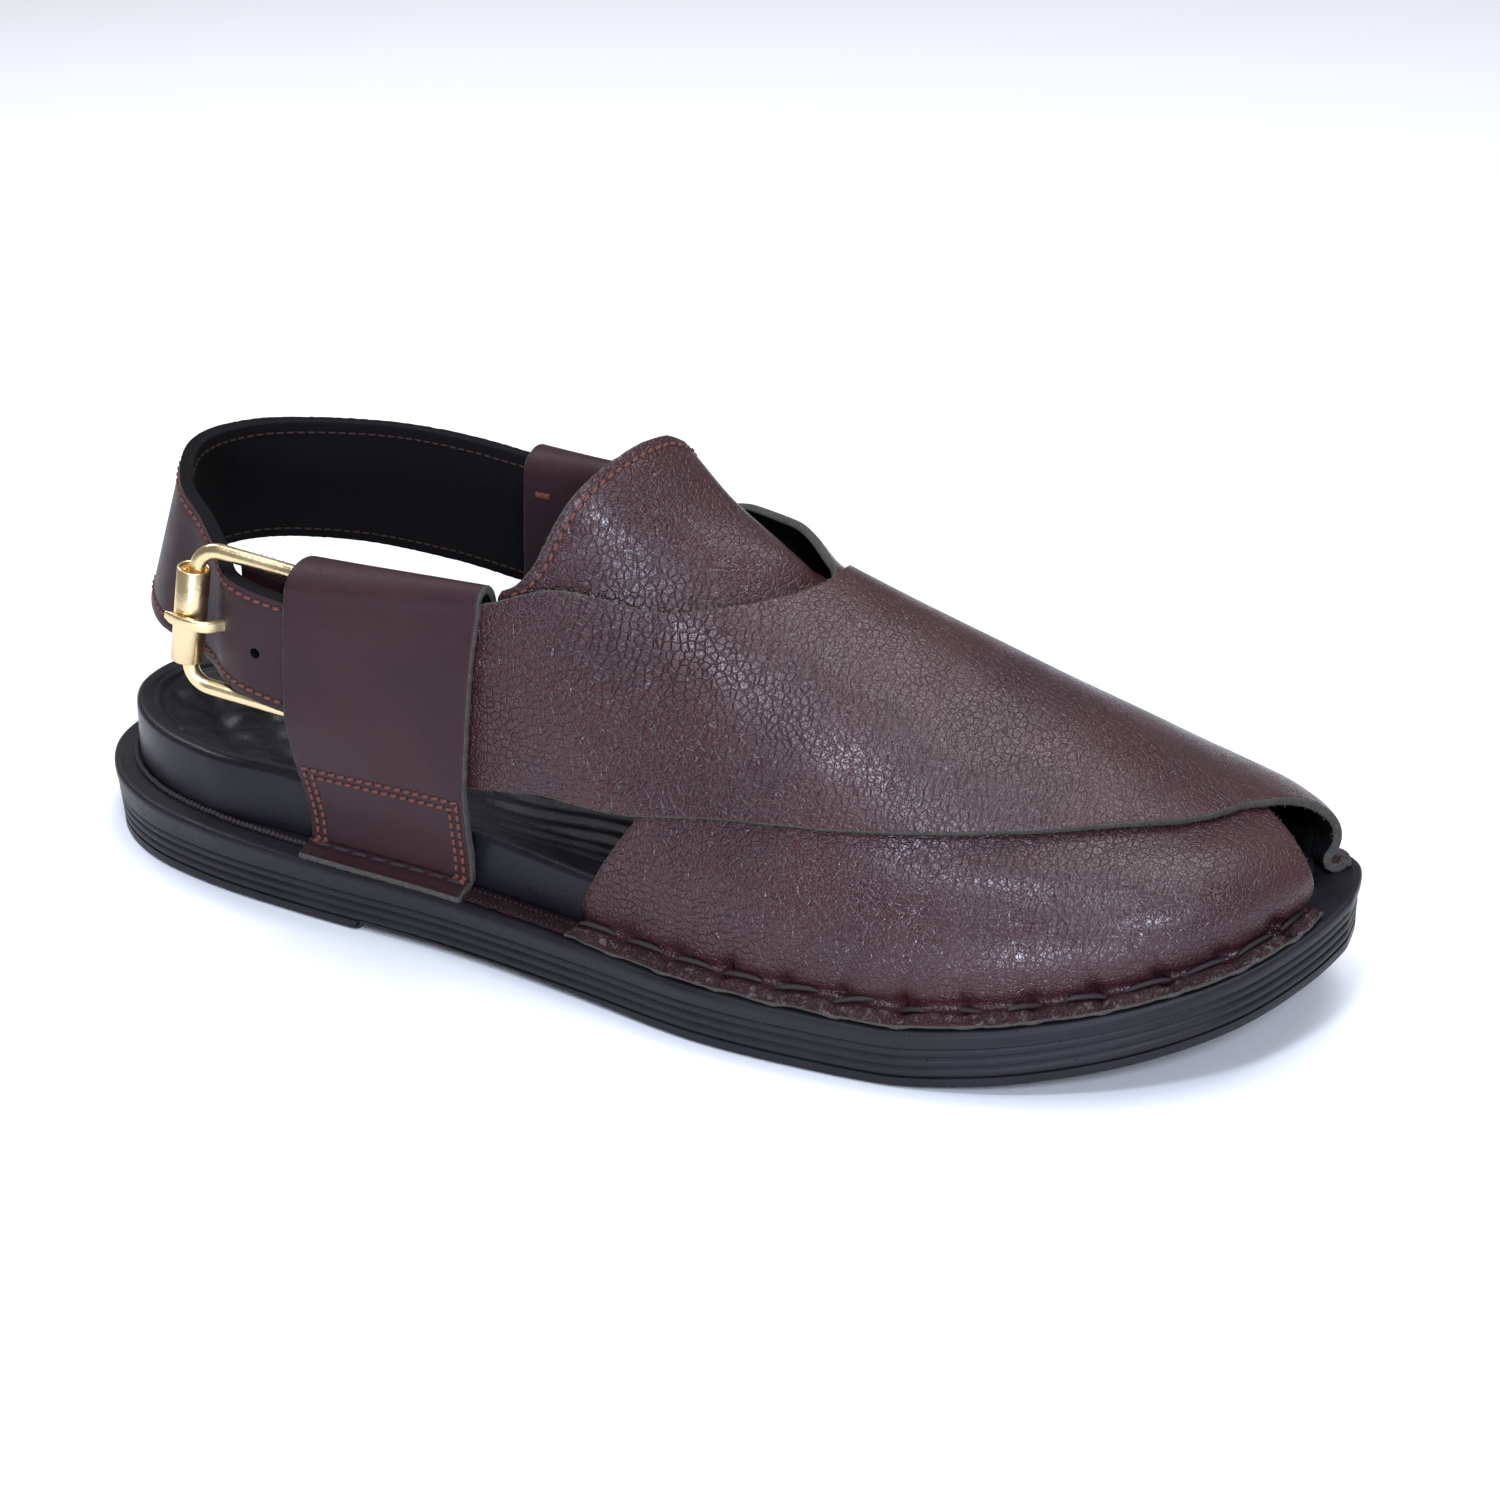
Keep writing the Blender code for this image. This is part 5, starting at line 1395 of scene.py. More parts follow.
class CHAPPAL_OT_loops(bpy.types.Operator):
    """Make the folded loops at both sides with their stitched boxes"""

    bl_idname = "chappal.loops"
    bl_label = "Loops"

    def execute(self, context):
        """Each loop: margin, wall up, fold over the top and the inner layer down."""
        size = sizes()
        leather = finishes_named("smooth_leather", "lining_leather", "cut_edge")
        for name, (side, span, height, rear_bulge, inner) in LOOPS.items():
            grid, foot = self.grid(size, side, span, height, rear_bulge, inner)
            paths = self.box_paths(grid, foot)
            for path in paths:
                grid = press(grid, sample(grid, *path), 0.00020, 0.0006)
            add_leather(name, grid, size.wall, leather, (name,))
            normals = grid_normals(grid)
            add_seam(name, [seam_run(grid, normals, path, size.stitch_pitch) for path in paths], size)
            crease = (np.full(60, foot - 2.6), np.linspace(1.5, grid.shape[1] - 2.5, 60))
            row = [seam_run(grid, normals, crease, FOOT_STITCH_PITCH)]
            shape = (FOOT_STITCH_LENGTH, FOOT_STITCH_RADIUS, 0.08)
            add_stitches(name + "_foot_stitches", row, finish_named("sole_thread"), *shape)
            ends = []
            for tail in (slice(None, 4), slice(-4, None)):
                ends += [seam_run(grid, normals, (r[tail], c[tail]), 0.002) for r, c in paths]
            if side > 0:
                inner_row = np.full(40, 110.0), np.linspace(5.0, 11.0, 40)
                ends.append(seam_run(grid, normals, inner_row, size.stitch_pitch))
            for label, turn in (("_knots_a", 0.5), ("_knots_b", -0.6)):
                shape = (KNOT_LENGTH, KNOT_RADIUS, turn)
                add_stitches(name + label, ends, finish_named("rust_thread"), *shape)
        return {"FINISHED"}

    def grid(self, size, side, span, height, rear_bulge, inner, columns=60):
        """Outer face as rows of points; each row runs from the loop's rear edge to its front edge."""
        x_base = np.linspace(x_at(span[0]), x_at(span[1]), columns)
        share = np.linspace(0.0, 1.0, columns)
        foot = feather_y(x_base, side < 0) * side
        base = ledge_height(along_at(x_base)) + CLEARANCE + size.wall
        rows = []
        for share_out in np.linspace(1.0, 0.0, 12)[:-1]:
            inside = max(0.0, FOLD_RADIUS - share_out * size.margin)
            rise = FOLD_RADIUS - math.sqrt(max(0.0, FOLD_RADIUS ** 2 - inside ** 2))
            pared = 0.5 * size.wall * smoothstep(1.4 * share_out - 0.4)
            rows.append((x_base, foot + size.margin * share_out, base + rise - pared))
        faces = spline(np.array(LOOP_FACE), steps=11)
        for share_up, rear, front, lean in faces:
            bulge = rear * rear_bulge * (1 - share) + front * FRONT_BULGE * share
            rows.append((x_base + lean * LOOP_LEAN, foot + bulge, base + share_up * height))
        x, wall, shoulder = rows[-1]
        middle = (wall + inner) / 2
        for turn in np.linspace(0.0, math.pi, 21)[1:]:
            y = middle + (wall - middle) * math.cos(turn)
            rows.append((x, y, shoulder + LOOP_FOLD * math.sin(turn)))
        pocket_end = base + LOOP_POCKET_END
        for down in np.linspace(0.0, 1.0, 25)[1:]:
            lean = LOOP_LEAN * LOOP_FACE[-1][3] * (1 - down * 0.6)
            z = shoulder * (1 - down) + pocket_end * down
            rows.append((x_base + lean, np.full(columns, inner), z))
        grid = np.array([np.column_stack([px, side * py, pz]) for px, py, pz in rows])
        if side < 0:
            grid = grid[:, ::-1]
        return grid, 11

    def box_paths(self, grid, foot):
        """Two nested three-sided rows at the loop's foot, as fractional rows and columns."""
        columns = grid.shape[1] - 1
        heights = grid[foot:foot + 60, :, 2].mean(axis=1)
        width = np.linalg.norm(grid[foot, 0] - grid[foot, -1])
        paths = []
        for inset, top in ((0.0017, 0.0200), (0.0036, 0.0181)):
            c0 = inset / width * columns
            c1 = columns - c0
            r1 = foot + np.interp(heights[0] + top, heights, np.arange(len(heights)))
            up = np.linspace(foot - 1.0, r1, 40)
            across = np.linspace(c0, c1, 60)
            rows = np.concatenate([up, np.full(60, r1), up[::-1]])
            cols = np.concatenate([np.full(40, c0), across, np.full(40, c1)])
            paths.append((rows, cols))
        return paths


class CHAPPAL_OT_heel_strap(bpy.types.Operator):
    """Make the lined heel strap with its edge stitching and holes"""

    bl_idname = "chappal.heel_strap"
    bl_label = "Heel strap"

    def execute(self, context):
        """A rounded strip carried round the heel: brown outside, black inside."""
        size = sizes()
        rows = strap_rows(14)
        left = np.column_stack([left_of(rows[:, :2]), np.zeros(len(rows))])
        share = np.linspace(-1.0, 1.0, 27)
        lean = rows[:, 4][:, None] * share[None] / 2
        centre = np.column_stack([rows[:, :2], rows[:, 2]])
        offset = size.strap_wall / 2 - lean
        grid = centre[:, None] + left[:, None] * offset[..., None]
        grid[..., 2] += rows[:, 3][:, None] * share[None] / 2
        grid = grid[:, ::-1]
        width = rows[:, 3].mean()
        inset = 0.0021 / width * 26
        every = np.arange(len(rows), dtype=float)
        lines = [(every, np.full(len(rows), c)) for c in (inset, 26 - inset)]
        for line in lines:
            grid = press(grid, sample(grid, *line), 0.0002, SEAM_GROOVE)
        if grid_normals(grid)[len(rows) // 2, 13, 0] > 0:
            grid = grid[:, ::-1]
        leather = finishes_named("smooth_leather", "lining_leather", "lining_leather")
        rim = {"plies": 2, "swell": 0.10}
        strap = add_leather("heel_strap", grid, size.strap_wall, leather, ("heel_strap",), **rim)
        self.punch(strap, rows, size)
        normals = grid_normals(grid)
        runs = []
        lining = []
        for line in lines:
            path, normal = sample(grid, *line), sample(normals, *line)
            runs.append(stitch_run(path, normal, size.stitch_pitch))
            lining.append(stitch_run(path - normal * size.strap_wall, -normal, size.stitch_pitch))
        add_seam("heel_strap", runs, size)
        thread = finish_named("lining_thread")
        add_stitches("heel_strap_lining_stitches", lining, thread, size.stitch_length, 0.6 * size.thread)
        return {"FINISHED"}

    def punch(self, strap, rows, size):
        """Cut the spare hole through the strap's buckle end."""
        near = rows[rows[:, 1] < 0]
        x = SPARE_HOLE_ALONG * LENGTH
        y, z = (np.interp(-x, -near[:, 0], near[:, k]) for k in (1, 2))
        mesh = bpy.data.meshes.new("spare_hole")
        bm = bmesh.new()
        turn = Matrix.Rotation(math.radians(90.0), 4, "X")
        turn = Matrix.Translation((x, y, z - SPARE_HOLE_DROP)) @ turn
        radius = size.spare_hole / 2
        depth = 4 * size.strap_wall
        sizes_of_tool = {"radius1": radius, "radius2": radius, "depth": depth, "segments": 24}
        bmesh.ops.create_cone(bm, cap_ends=True, matrix=turn, **sizes_of_tool)
        bm.to_mesh(mesh)
        bm.free()
        mesh.materials.append(finish_named("lining_leather"))
        tool = bpy.data.objects.new("spare_hole", mesh)
        bpy.context.scene.collection.objects.link(tool)
        hole = strap.modifiers.new("Spare hole", "BOOLEAN")
        hole.operation = "DIFFERENCE"
        hole.solver = "EXACT"
        hole.object = tool
        graph = bpy.context.evaluated_depsgraph_get()
        cut = bpy.data.meshes.new_from_object(strap.evaluated_get(graph))
        strap.modifiers.clear()
        strap.data = cut
        bpy.data.objects.remove(tool)


def ring_plan(inset, count=240):
    """Plan points of the outline moved inward: heel to toe on the outer side, then back on the inner.

    The two sides have the same X at each station, x = low + (1 - cos t) / 2 times the run.
    """
    lateral, medial = halves(OUTLINE - OUTLINE_OUT * np.reshape(inset(along_at(OUTLINE[:, 0])), (-1, 1)))
    share = (1.0 - np.cos(np.linspace(0.0, math.pi, count + 1))) / 2
    x = lateral[0, 0] + share * (lateral[-1, 0] - lateral[0, 0])
    out = np.interp(x, lateral[:, 0], lateral[:, 1])
    back = np.interp(x, medial[:, 0], medial[:, 1])
    out[0] = back[0] = (out[0] + back[0]) / 2
    out[-1] = back[-1] = (out[-1] + back[-1]) / 2
    return x, out, back


def add_moulded(name, rings, top, bottom, finish, slot, across=56):
    """A moulded solid: rings of (inset, height) round the outline, closed by two ruled faces.

    Rings are functions of the share along. top and bottom give the heights of the closing faces over
    plan points and their depth inside the last or first ring. Doubled points are merged.
    """
    stations = []
    for inset, height in rings:
        x, out, back = ring_plan(inset)
        plan = np.vstack([np.column_stack([x, out]), np.column_stack([x, back])[-2:0:-1]])
        stations.append(np.column_stack([plan, height(along_at(plan[:, 0]))]))
    grid = np.array(stations)
    count = grid.shape[1]
    sides = grid_faces(len(grid), count, closed=True)[:, ::-1]
    blocks = [grid.reshape(-1, 3)]
    faces = [sides]
    total = len(grid) * count
    share = np.linspace(0.0, 1.0, across + 1)
    for (inset, height), level, face, flip in ((rings[-1], -1, top, False), (rings[0], 0, bottom, True)):
        x, out, back = ring_plan(inset)
        y = out[:, None] * (1 - share) + back[:, None] * share
        plan = np.stack([np.broadcast_to(x[:, None], y.shape), y], axis=-1)
        outline = grid[level][:, :2]
        depth = np.maximum(depth_inside(plan, outline[::2]), 0.0)
        depth[:, 0] = depth[:, -1] = 0.0
        depth[0] = depth[-1] = 0.0
        z = face(plan, depth)
        blocks.append(np.dstack([plan, z]).reshape(-1, 3))
        lid = grid_faces(len(x), across + 1) + total
        faces.append(lid[:, ::-1] if flip else lid)
        total += len(x) * (across + 1)
    piece = add_piece(name, np.vstack(blocks), np.vstack(faces), [finish], slot, (name.split("_")[0],))
    weld(piece)
    return piece


def weld(piece):
    """Merge doubled points, drop the flat faces that this leaves and turn every face outward."""
    bm = bmesh.new()
    bm.from_mesh(piece.data)
    bmesh.ops.remove_doubles(bm, verts=bm.verts[:], dist=2e-6)
    bmesh.ops.dissolve_degenerate(bm, dist=1e-7, edges=bm.edges[:])
    bmesh.ops.recalc_face_normals(bm, faces=bm.faces[:])
    for face in bm.faces:
        face.smooth = True
    bm.to_mesh(piece.data)
    bm.free()
    piece.data.set_sharp_from_angle(angle=SHARP_ANGLE)


def fixed(value):
    """The same value at every share along."""
    return lambda along: np.full(np.shape(along), value)


class CHAPPAL_OT_outsole(bpy.types.Operator):
    """Make the black outsole with its ribbed side and tread"""

    bl_idname = "chappal.outsole"
    bl_label = "Outsole"

    def execute(self, context):
        """Sections round the outline: chamfer, plain band, three ribs, lip band and ledge."""
        size = sizes()
        rings = []
        for inset, rise in ((2.2, 0.0), (1.2, 0.25), (0.5, 0.6), (0.0, 1.0)):
            rings.append((fixed(SIDE_DRAFT + inset * EDGE_CHAMFER), self.rise(rise * EDGE_CHAMFER)))
        pitch = size.rib_pitch
        first = size.plain_band
        for z in first + pitch * np.linspace(-0.18, 3.12, 67):
            phase = (z - first) / pitch
            bulge = abs(math.sin(math.pi * phase)) ** 0.5 if -0.01 < phase < 3.01 else 1.0
            inset = SIDE_DRAFT * (1.0 - 0.35 * phase / 3.0) + size.rib_depth * (1.0 - bulge)
            rings.append((fixed(inset), self.sprung(z)))
        for inset, drop in LIP_PROFILE:
            rings.append((fixed(inset * LIP_HEIGHT), self.drop(drop * LIP_HEIGHT)))
        for inset in (0.0030, 0.0045, 0.0062, 0.0085):
            rings.append((fixed(inset), self.drop(0.0)))
        add_moulded("outsole", rings, self.top, self.tread, finish_named("sole_rubber"), "black_sole")
        return {"FINISHED"}

    def rise(self, height):
        """A height over the walking face."""
        return lambda along: bottom_height(along) + height

    def sprung(self, height):
        """A height over a heel and toe line without the breast step, so that the ribs run straight."""
        return lambda along: TOE_SPRING * sole_profile(along, 2) + height

    def drop(self, depth):
        """A height under the ledge."""
        return lambda along: ledge_height(along) - depth

    def top(self, plan, depth):
        """The flat face under the footbed."""
        return ledge_at(plan)

    def tread(self, plan, depth):
        """Walking face with wavy cross grooves inside a plain border: g (1 - |sin|^0.35) of X + wave."""
        x, y = plan[..., 0], plan[..., 1]
        along = along_at(x)
        wave = x + TREAD_WAVE * np.sin(2 * math.pi * y / TREAD_WAVE_PITCH)
        grooves = 1.0 - np.abs(np.sin(math.pi * wave / TREAD_PITCH)) ** 0.35
        window = smoothstep((depth - TREAD_BORDER) / 0.0015)
        waist = smoothstep((np.abs(along - 0.40) - 0.085) / 0.01)
        return bottom_height(along) + TREAD_DEPTH * grooves * window * waist


class CHAPPAL_OT_footbed(bpy.types.Operator):
    """Make the black footbed with its grooved rim, ridges and quilted heel"""

    bl_idname = "chappal.footbed"
    bl_label = "Footbed"

    def execute(self, context):
        """Smooth wall leaning in, round shoulder, then the cupped top."""
        lean = 0.16 * FOOTBED_RIM
        corner = 0.30 * FOOTBED_RIM
        rings = [(self.inset(0.0), lambda a: ledge_height(a) + CLEARANCE)]
        for share in np.linspace(0.0, 1.0, 7)[1:]:
            rings.append((self.inset(0.8 * lean * share), self.height(share, corner)))
        for turn in np.linspace(0.0, math.pi / 2, 6)[1:]:
            across = 0.8 * lean + (0.2 * lean + corner) * (1 - math.cos(turn))
            rings.append((self.inset(across), self.shoulder(corner * (1 - math.sin(turn)))))
        rubber = finish_named("footbed_rubber")
        add_moulded("insole", rings, self.top, self.under, rubber, "black_footbed")
        return {"FINISHED"}

    def inset(self, extra):
        """The wall's inset: at the feather line round the heel, one leather further in ahead of it."""
        def inset(along):
            share = smoothstep((along - 0.14) / 0.08)
            return FLANGE_STEP + (sizes().wall + FOOTBED_GAP) * share + extra
        return inset

    def rim(self, along):
        """Height of the rim."""
        return ledge_height(along) + FOOTBED_HEIGHT * sole_profile(along, 4)

    def height(self, share, corner):
        """A height up the wall, toward the shoulder."""
        def height(along):
            low = ledge_height(along) + CLEARANCE
            return low + share * (self.rim(along) - corner - low)
        return height

    def shoulder(self, drop):
        """A height under the rim."""
        return lambda along: self.rim(along) - drop

    def top(self, plan, depth):
        """Rim with two grooves, a cup, lengthwise ridges at the waist and pads at the heel.

        Cup = c times a curve of the depth; ridges = r cos(2 pi (y + wave) / 5.2 mm);
        pads = p (|sin u sin v| - 0.5) on a diagonal lattice, rounded at the creases.
        """
        x, y = plan[..., 0], plan[..., 1]
        along = along_at(x)
        shares = np.array([0.0, 0.0026, 0.0040, 0.0090, 0.0160])
        cup = monotone(depth, shares, np.array([0.0, 0.03, 0.18, 0.60, 1.0]))
        z = self.rim(along) - CUP_DEPTH * sole_profile(along, 5) * cup
        for at, deep in RIM_GROOVES:
            z = z - deep * bump_at(depth, at, RIM_GROOVE_WIDTH)
        inside = smoothstep((depth - 0.0040) / 0.004)
        waist = smoothstep((along - 0.33) / 0.06) * smoothstep((0.80 - along) / 0.14)
        wave = 0.0010 * np.sin(2 * math.pi * x / 0.045 + 40.0 * y)
        ridges = np.cos(2 * math.pi * (y + wave) / RIDGE_PITCH)
        z = z + RIDGE_HEIGHT * ridges * inside * waist
        heel = smoothstep((0.33 - along) / 0.06)
        bend = 0.0022 * ripple(plan, 0.028, 2)
        u = math.pi * (x + y + bend) / PAD_PITCH
        v = math.pi * (x - y + bend) / PAD_PITCH
        pads = (1.0 - np.cos(2 * u)) * (1.0 - np.cos(2 * v)) / 4.0
        return z + PAD_HEIGHT * (np.sqrt(pads + 0.02) - 0.5) * inside * heel

    def under(self, plan, depth):
        """Flat face on the outsole."""
        return ledge_at(plan) + CLEARANCE


class CHAPPAL_OT_welt(bpy.types.Operator):
    """Make the pricked leather strip on the ledge and the seam round the heel"""

    bl_idname = "chappal.welt"
    bl_label = "Welt strip"

    def execute(self, context):
        """A thin strip on the ledge at both sides of the waist, dark marks of painted shade for its
        pinholes, and a corded seam.
        """
        self.strip("outer_welt", FEATHER_LATERAL, -1, 0.37, 0.56)
        self.strip("inner_welt", FEATHER_MEDIAL, 1, 0.41, 0.56)
        self.heel_seam()
        return {"FINISHED"}

    def edge(self, half, side, start, end, count):
        """Points along the feather line between two shares of the length, and outward normals."""
        x = np.linspace(x_at(start), x_at(end), count)
        line = np.column_stack([x, np.interp(x, half[:, 0], half[:, 1])])
        return line, left_of(line) * side

    def strip(self, name, half, side, start, end):
        """The strip's outer face, flat on the ledge, with dark marks of painted shade for pinholes near
        both of its edges.
        """
        line, out = self.edge(half, side, start, end, 160)
        rows = []
        for reach in np.linspace(-0.0012, 0.0038, 12):
            plan = line + out * reach
            lift = 0.0006 + 0.00012 * ripple(plan, 0.003, 8)
            rows.append(np.column_stack([plan, ledge_at(plan) + CLEARANCE + lift]))
        grid = np.array(rows)
        if grid_normals(grid)[6, 80, 2] < 0:
            grid = grid[:, ::-1]
        add_leather(name, grid, 0.0006, finishes_named("welt_leather", "lining_leather", "welt_leather"))
        normals = grid_normals(grid)
        # The pinholes are dark capsules in the sole thread's colour raised on the strip: painted shade
        # of the holes.
        raised = grid + normals * 0.00004
        runs = [stitch_run(raised[row], normals[row], PINHOLE_PITCH) for row in (3, 10)]
        thread = finish_named("sole_thread")
        add_stitches(name + "_pinhole_shades", runs, thread, PINHOLE_LENGTH, PINHOLE_RADIUS)

    def heel_seam(self):
        """Small corded stitches all round the heel where the footbed meets the ledge."""
        lateral, lateral_out = self.edge(FEATHER_LATERAL, -1, 0.0145, 0.262, 200)
        medial, medial_out = self.edge(FEATHER_MEDIAL, 1, 0.0145, 0.335, 200)
        plan = np.vstack([lateral[::-1] + lateral_out[::-1] * 0.0009, medial + medial_out * 0.0009])
        path = np.column_stack([plan, ledge_at(plan) + 0.00055])
        path = resample(path, np.linspace(0.0, lengths(path)[-1], 600))
        path[:, 2] += 0.00012 * ripple(path, 0.004, 12)
        up = np.broadcast_to(np.array([0.0, 0.0, 1.0]), path.shape)
        runs = [stitch_run(path, up, HEEL_SEAM_PITCH)]
        shape = (HEEL_SEAM_LENGTH, HEEL_SEAM_RADIUS, HEEL_SEAM_TILT)
        add_stitches("heel_seam", runs, finish_named("sole_thread"), *shape)


def add_turned(name, axes, profile, finish, slot, replaced, start=0.0, sweep=2 * math.pi, shift=0.0):
    """A closed profile of (radius, height) turned about the buckle's Y axis, whole or in part.

    Point = (r cos t + shift, h, r sin t). A part turn has its two ends closed by its profile.
    """
    profile = np.array(profile)
    whole = sweep > 2 * math.pi - 1e-6
    turns = start + sweep * np.linspace(0.0, 1.0, 48, endpoint=not whole)
    radius, height = profile[:, 0], profile[:, 1]
    rings = np.stack([
        radius * np.cos(turns)[:, None] + shift,
        np.broadcast_to(height, (len(turns), len(height))),
        radius * np.sin(turns)[:, None],
    ], axis=-1)
    weld(add_tube(name, in_axes(rings, axes), finish, slot, replaced, cyclic=whole))


def pipe_profile(outer, inner, low, high, bevel):
    """Closed pipe section with bevelled rims."""
    return (
        (inner, low + bevel), (inner + bevel, low), (outer - bevel, low), (outer, low + bevel),
        (outer, high - bevel), (outer - bevel, high), (inner + bevel, high), (inner, high - bevel),
    )


class CHAPPAL_OT_buckle(bpy.types.Operator):
    """Make the buckle's guard, frame, roller and prong"""

    bl_idname = "chappal.buckle"
    bl_label = "Buckle"

    def execute(self, context):
        """Every part in the buckle's own axes: X from pivot bar to roller, Y up, Z outward."""
        size = sizes()
        axes = buckle_axes()
        self.frame(size, axes)
        self.roller(size, axes)
        self.prong(size, axes)
        self.guard(size, axes)
        return {"FINISHED"}

    def frame(self, size, axes):
        """Round wire swept along a rectangle with round corners, slightly flattened outside."""
        half = FRAME_HEIGHT / 2
        right, left = FRAME_RUN - FRAME_CORNER, FRAME_CORNER
        corners = ((right, half - FRAME_CORNER, 0), (left, half - FRAME_CORNER, 90),
                   (left, FRAME_CORNER - half, 180), (right, FRAME_CORNER - half, 270))
        points = []
        for x, y, start in corners:
            turn = np.radians(start + np.linspace(0.0, 90.0, 13))
            arc = np.column_stack([np.cos(turn), np.sin(turn)])
            points.append(np.array([x, y]) + FRAME_CORNER * arc)
        path = np.vstack(points)
        loop = np.vstack([path, path[:1]])
        path = resample(loop, np.linspace(0.0, lengths(loop)[-1], 140, endpoint=False))
        tangent = unit(np.roll(path, -1, axis=0) - np.roll(path, 1, axis=0))
        out = np.column_stack([tangent[:, 1], -tangent[:, 0]])
        turn = np.linspace(0.0, 2 * math.pi, 20, endpoint=False)
        wobble = 1.0 + 0.015 * ripple(path, 0.012, 21)
        radius = size.wire / 2 * wobble[:, None]
        across = radius * np.cos(turn)
        up = radius * np.sin(turn) * np.where(np.sin(turn) > 0, 0.94, 1.0)
        plan = path[:, None] + out[:, None] * across[..., None]
        rings = in_axes(np.dstack([plan, up]), axes)
        brass = finish_named("gold_brass")
        weld(add_tube("buckle_frame", rings, brass, "brass", ("buckle_frame",), cyclic=True))

    def roller(self, size, axes):
        """Sheet brass rolled round the far bar, its seam left open toward the strap."""
        outer = size.roller / 2
        inner = outer - ROLLER_WALL
        slack = inner - size.wire / 2 - CLEARANCE
        half = size.roller_length / 2
        profile = pipe_profile(outer, inner, -half, half, 0.00018)
        turn = {"start": math.radians(-100), "sweep": math.radians(351), "shift": FRAME_RUN + slack}
        brass = finish_named("gold_brass")
        add_turned("buckle_roller", axes, profile, brass, "brass", ("buckle_roller",), **turn)

    def prong(self, size, axes):
        """Flat bar bent from the pivot through the strap and over the roller, with an eye."""
        path = spline(np.array(PRONG_PATH) * np.array([FRAME_RUN, size.roller]), steps=14)
        normal = left_of(path)
        share = np.linspace(0.0, 1.0, len(path))
        turn = np.linspace(0.0, 2 * math.pi, 20, endpoint=False)
        side = np.sign(np.cos(turn)) * np.sqrt(np.abs(np.cos(turn)))
        up = np.sign(np.sin(turn)) * np.sqrt(np.abs(np.sin(turn)))
        tip = np.sqrt(1.0 - 0.55 * smoothstep((share - 0.93) / 0.07))
        width = size.prong_width / 2 * (1.0 - 0.12 * share) * tip
        thick = size.prong_wall / 2 * tip
        across = width[:, None] * side
        lift = thick[:, None] * up
        plan = path[:, None] + normal[:, None] * lift[..., None]
        rings = in_axes(np.stack([plan[..., 0], across, plan[..., 1]], axis=-1), axes)
        brass = finish_named("gold_brass")
        weld(add_tube("buckle_prong", rings, brass, "brass", ("buckle_prong",)))
        bore = size.wire / 2 + CLEARANCE
        half = 0.45 * size.prong_width
        profile = pipe_profile(bore + SLEEVE_WALL, bore, -half, half, 0.0002)
        add_turned("prong_eye", axes, profile, brass, "brass", ())

    def guard(self, size, axes):
        """Leather strip behind the frame and its sleeve round the pivot bar, parted for the prong."""
        scale = np.array([LENGTH, size.wire, FRAME_HEIGHT, FRAME_HEIGHT])
        rows = spline(np.array(CHAPE_PATH) * scale, steps=16)
        plan = np.column_stack([rows[:, 0], PIVOT[1] + rows[:, 1]])
        left = left_of(plan)
        share = np.linspace(0.0, 1.0, 60)
        low = PIVOT[2] + rows[:, 2][:, None]
        high = PIVOT[2] + rows[:, 3][:, None]
        z = low * (1 - share) + high * share
        outer = plan + left * size.chape_wall / 2
        grid = np.dstack([np.broadcast_to(outer[:, None], z.shape + (2,)), z])
        if grid_normals(grid)[30, 30, 1] > 0:
            grid = grid[:, ::-1]
        leather = finishes_named("smooth_leather", "smooth_leather", "cut_edge")
        add_leather("buckle_chape", grid, size.chape_wall, leather, ("buckle_chape",), swell=0.3)
        draw = np.random.RandomState(5)
        top = np.column_stack([plan, high])
        count = GUARD_FIBRES
        spots = resample(top, draw.uniform(0.0, lengths(top)[-1], count))
        spots[:, :2] += left[0] * draw.uniform(-0.5, 0.5, (count, 1)) * size.chape_wall
        along = unit(draw.normal(size=(count, 3)) * (1.0, 1.0, 0.7) + (0.0, 0.0, 0.5))
        fuzz = [(spots, along, unit(draw.normal(size=(count, 3))))]
        shape = (GUARD_FIBRE_LENGTH, GUARD_FIBRE_RADIUS)
        add_stitches("guard_fibres", fuzz, finish_named("cut_edge"), *shape)
        bore = size.wire / 2 + CLEARANCE
        notch = size.prong_width / 2 + CLEARANCE
        half = SLEEVE_LENGTH / 2
        for label, ends in (("upper", (notch, half)), ("lower", (-half, -notch))):
            profile = pipe_profile(bore + SLEEVE_WALL, bore, *ends, 0.0002)
            add_turned("chape_sleeve_" + label, axes, profile, leather[0], "brown_leather", ())


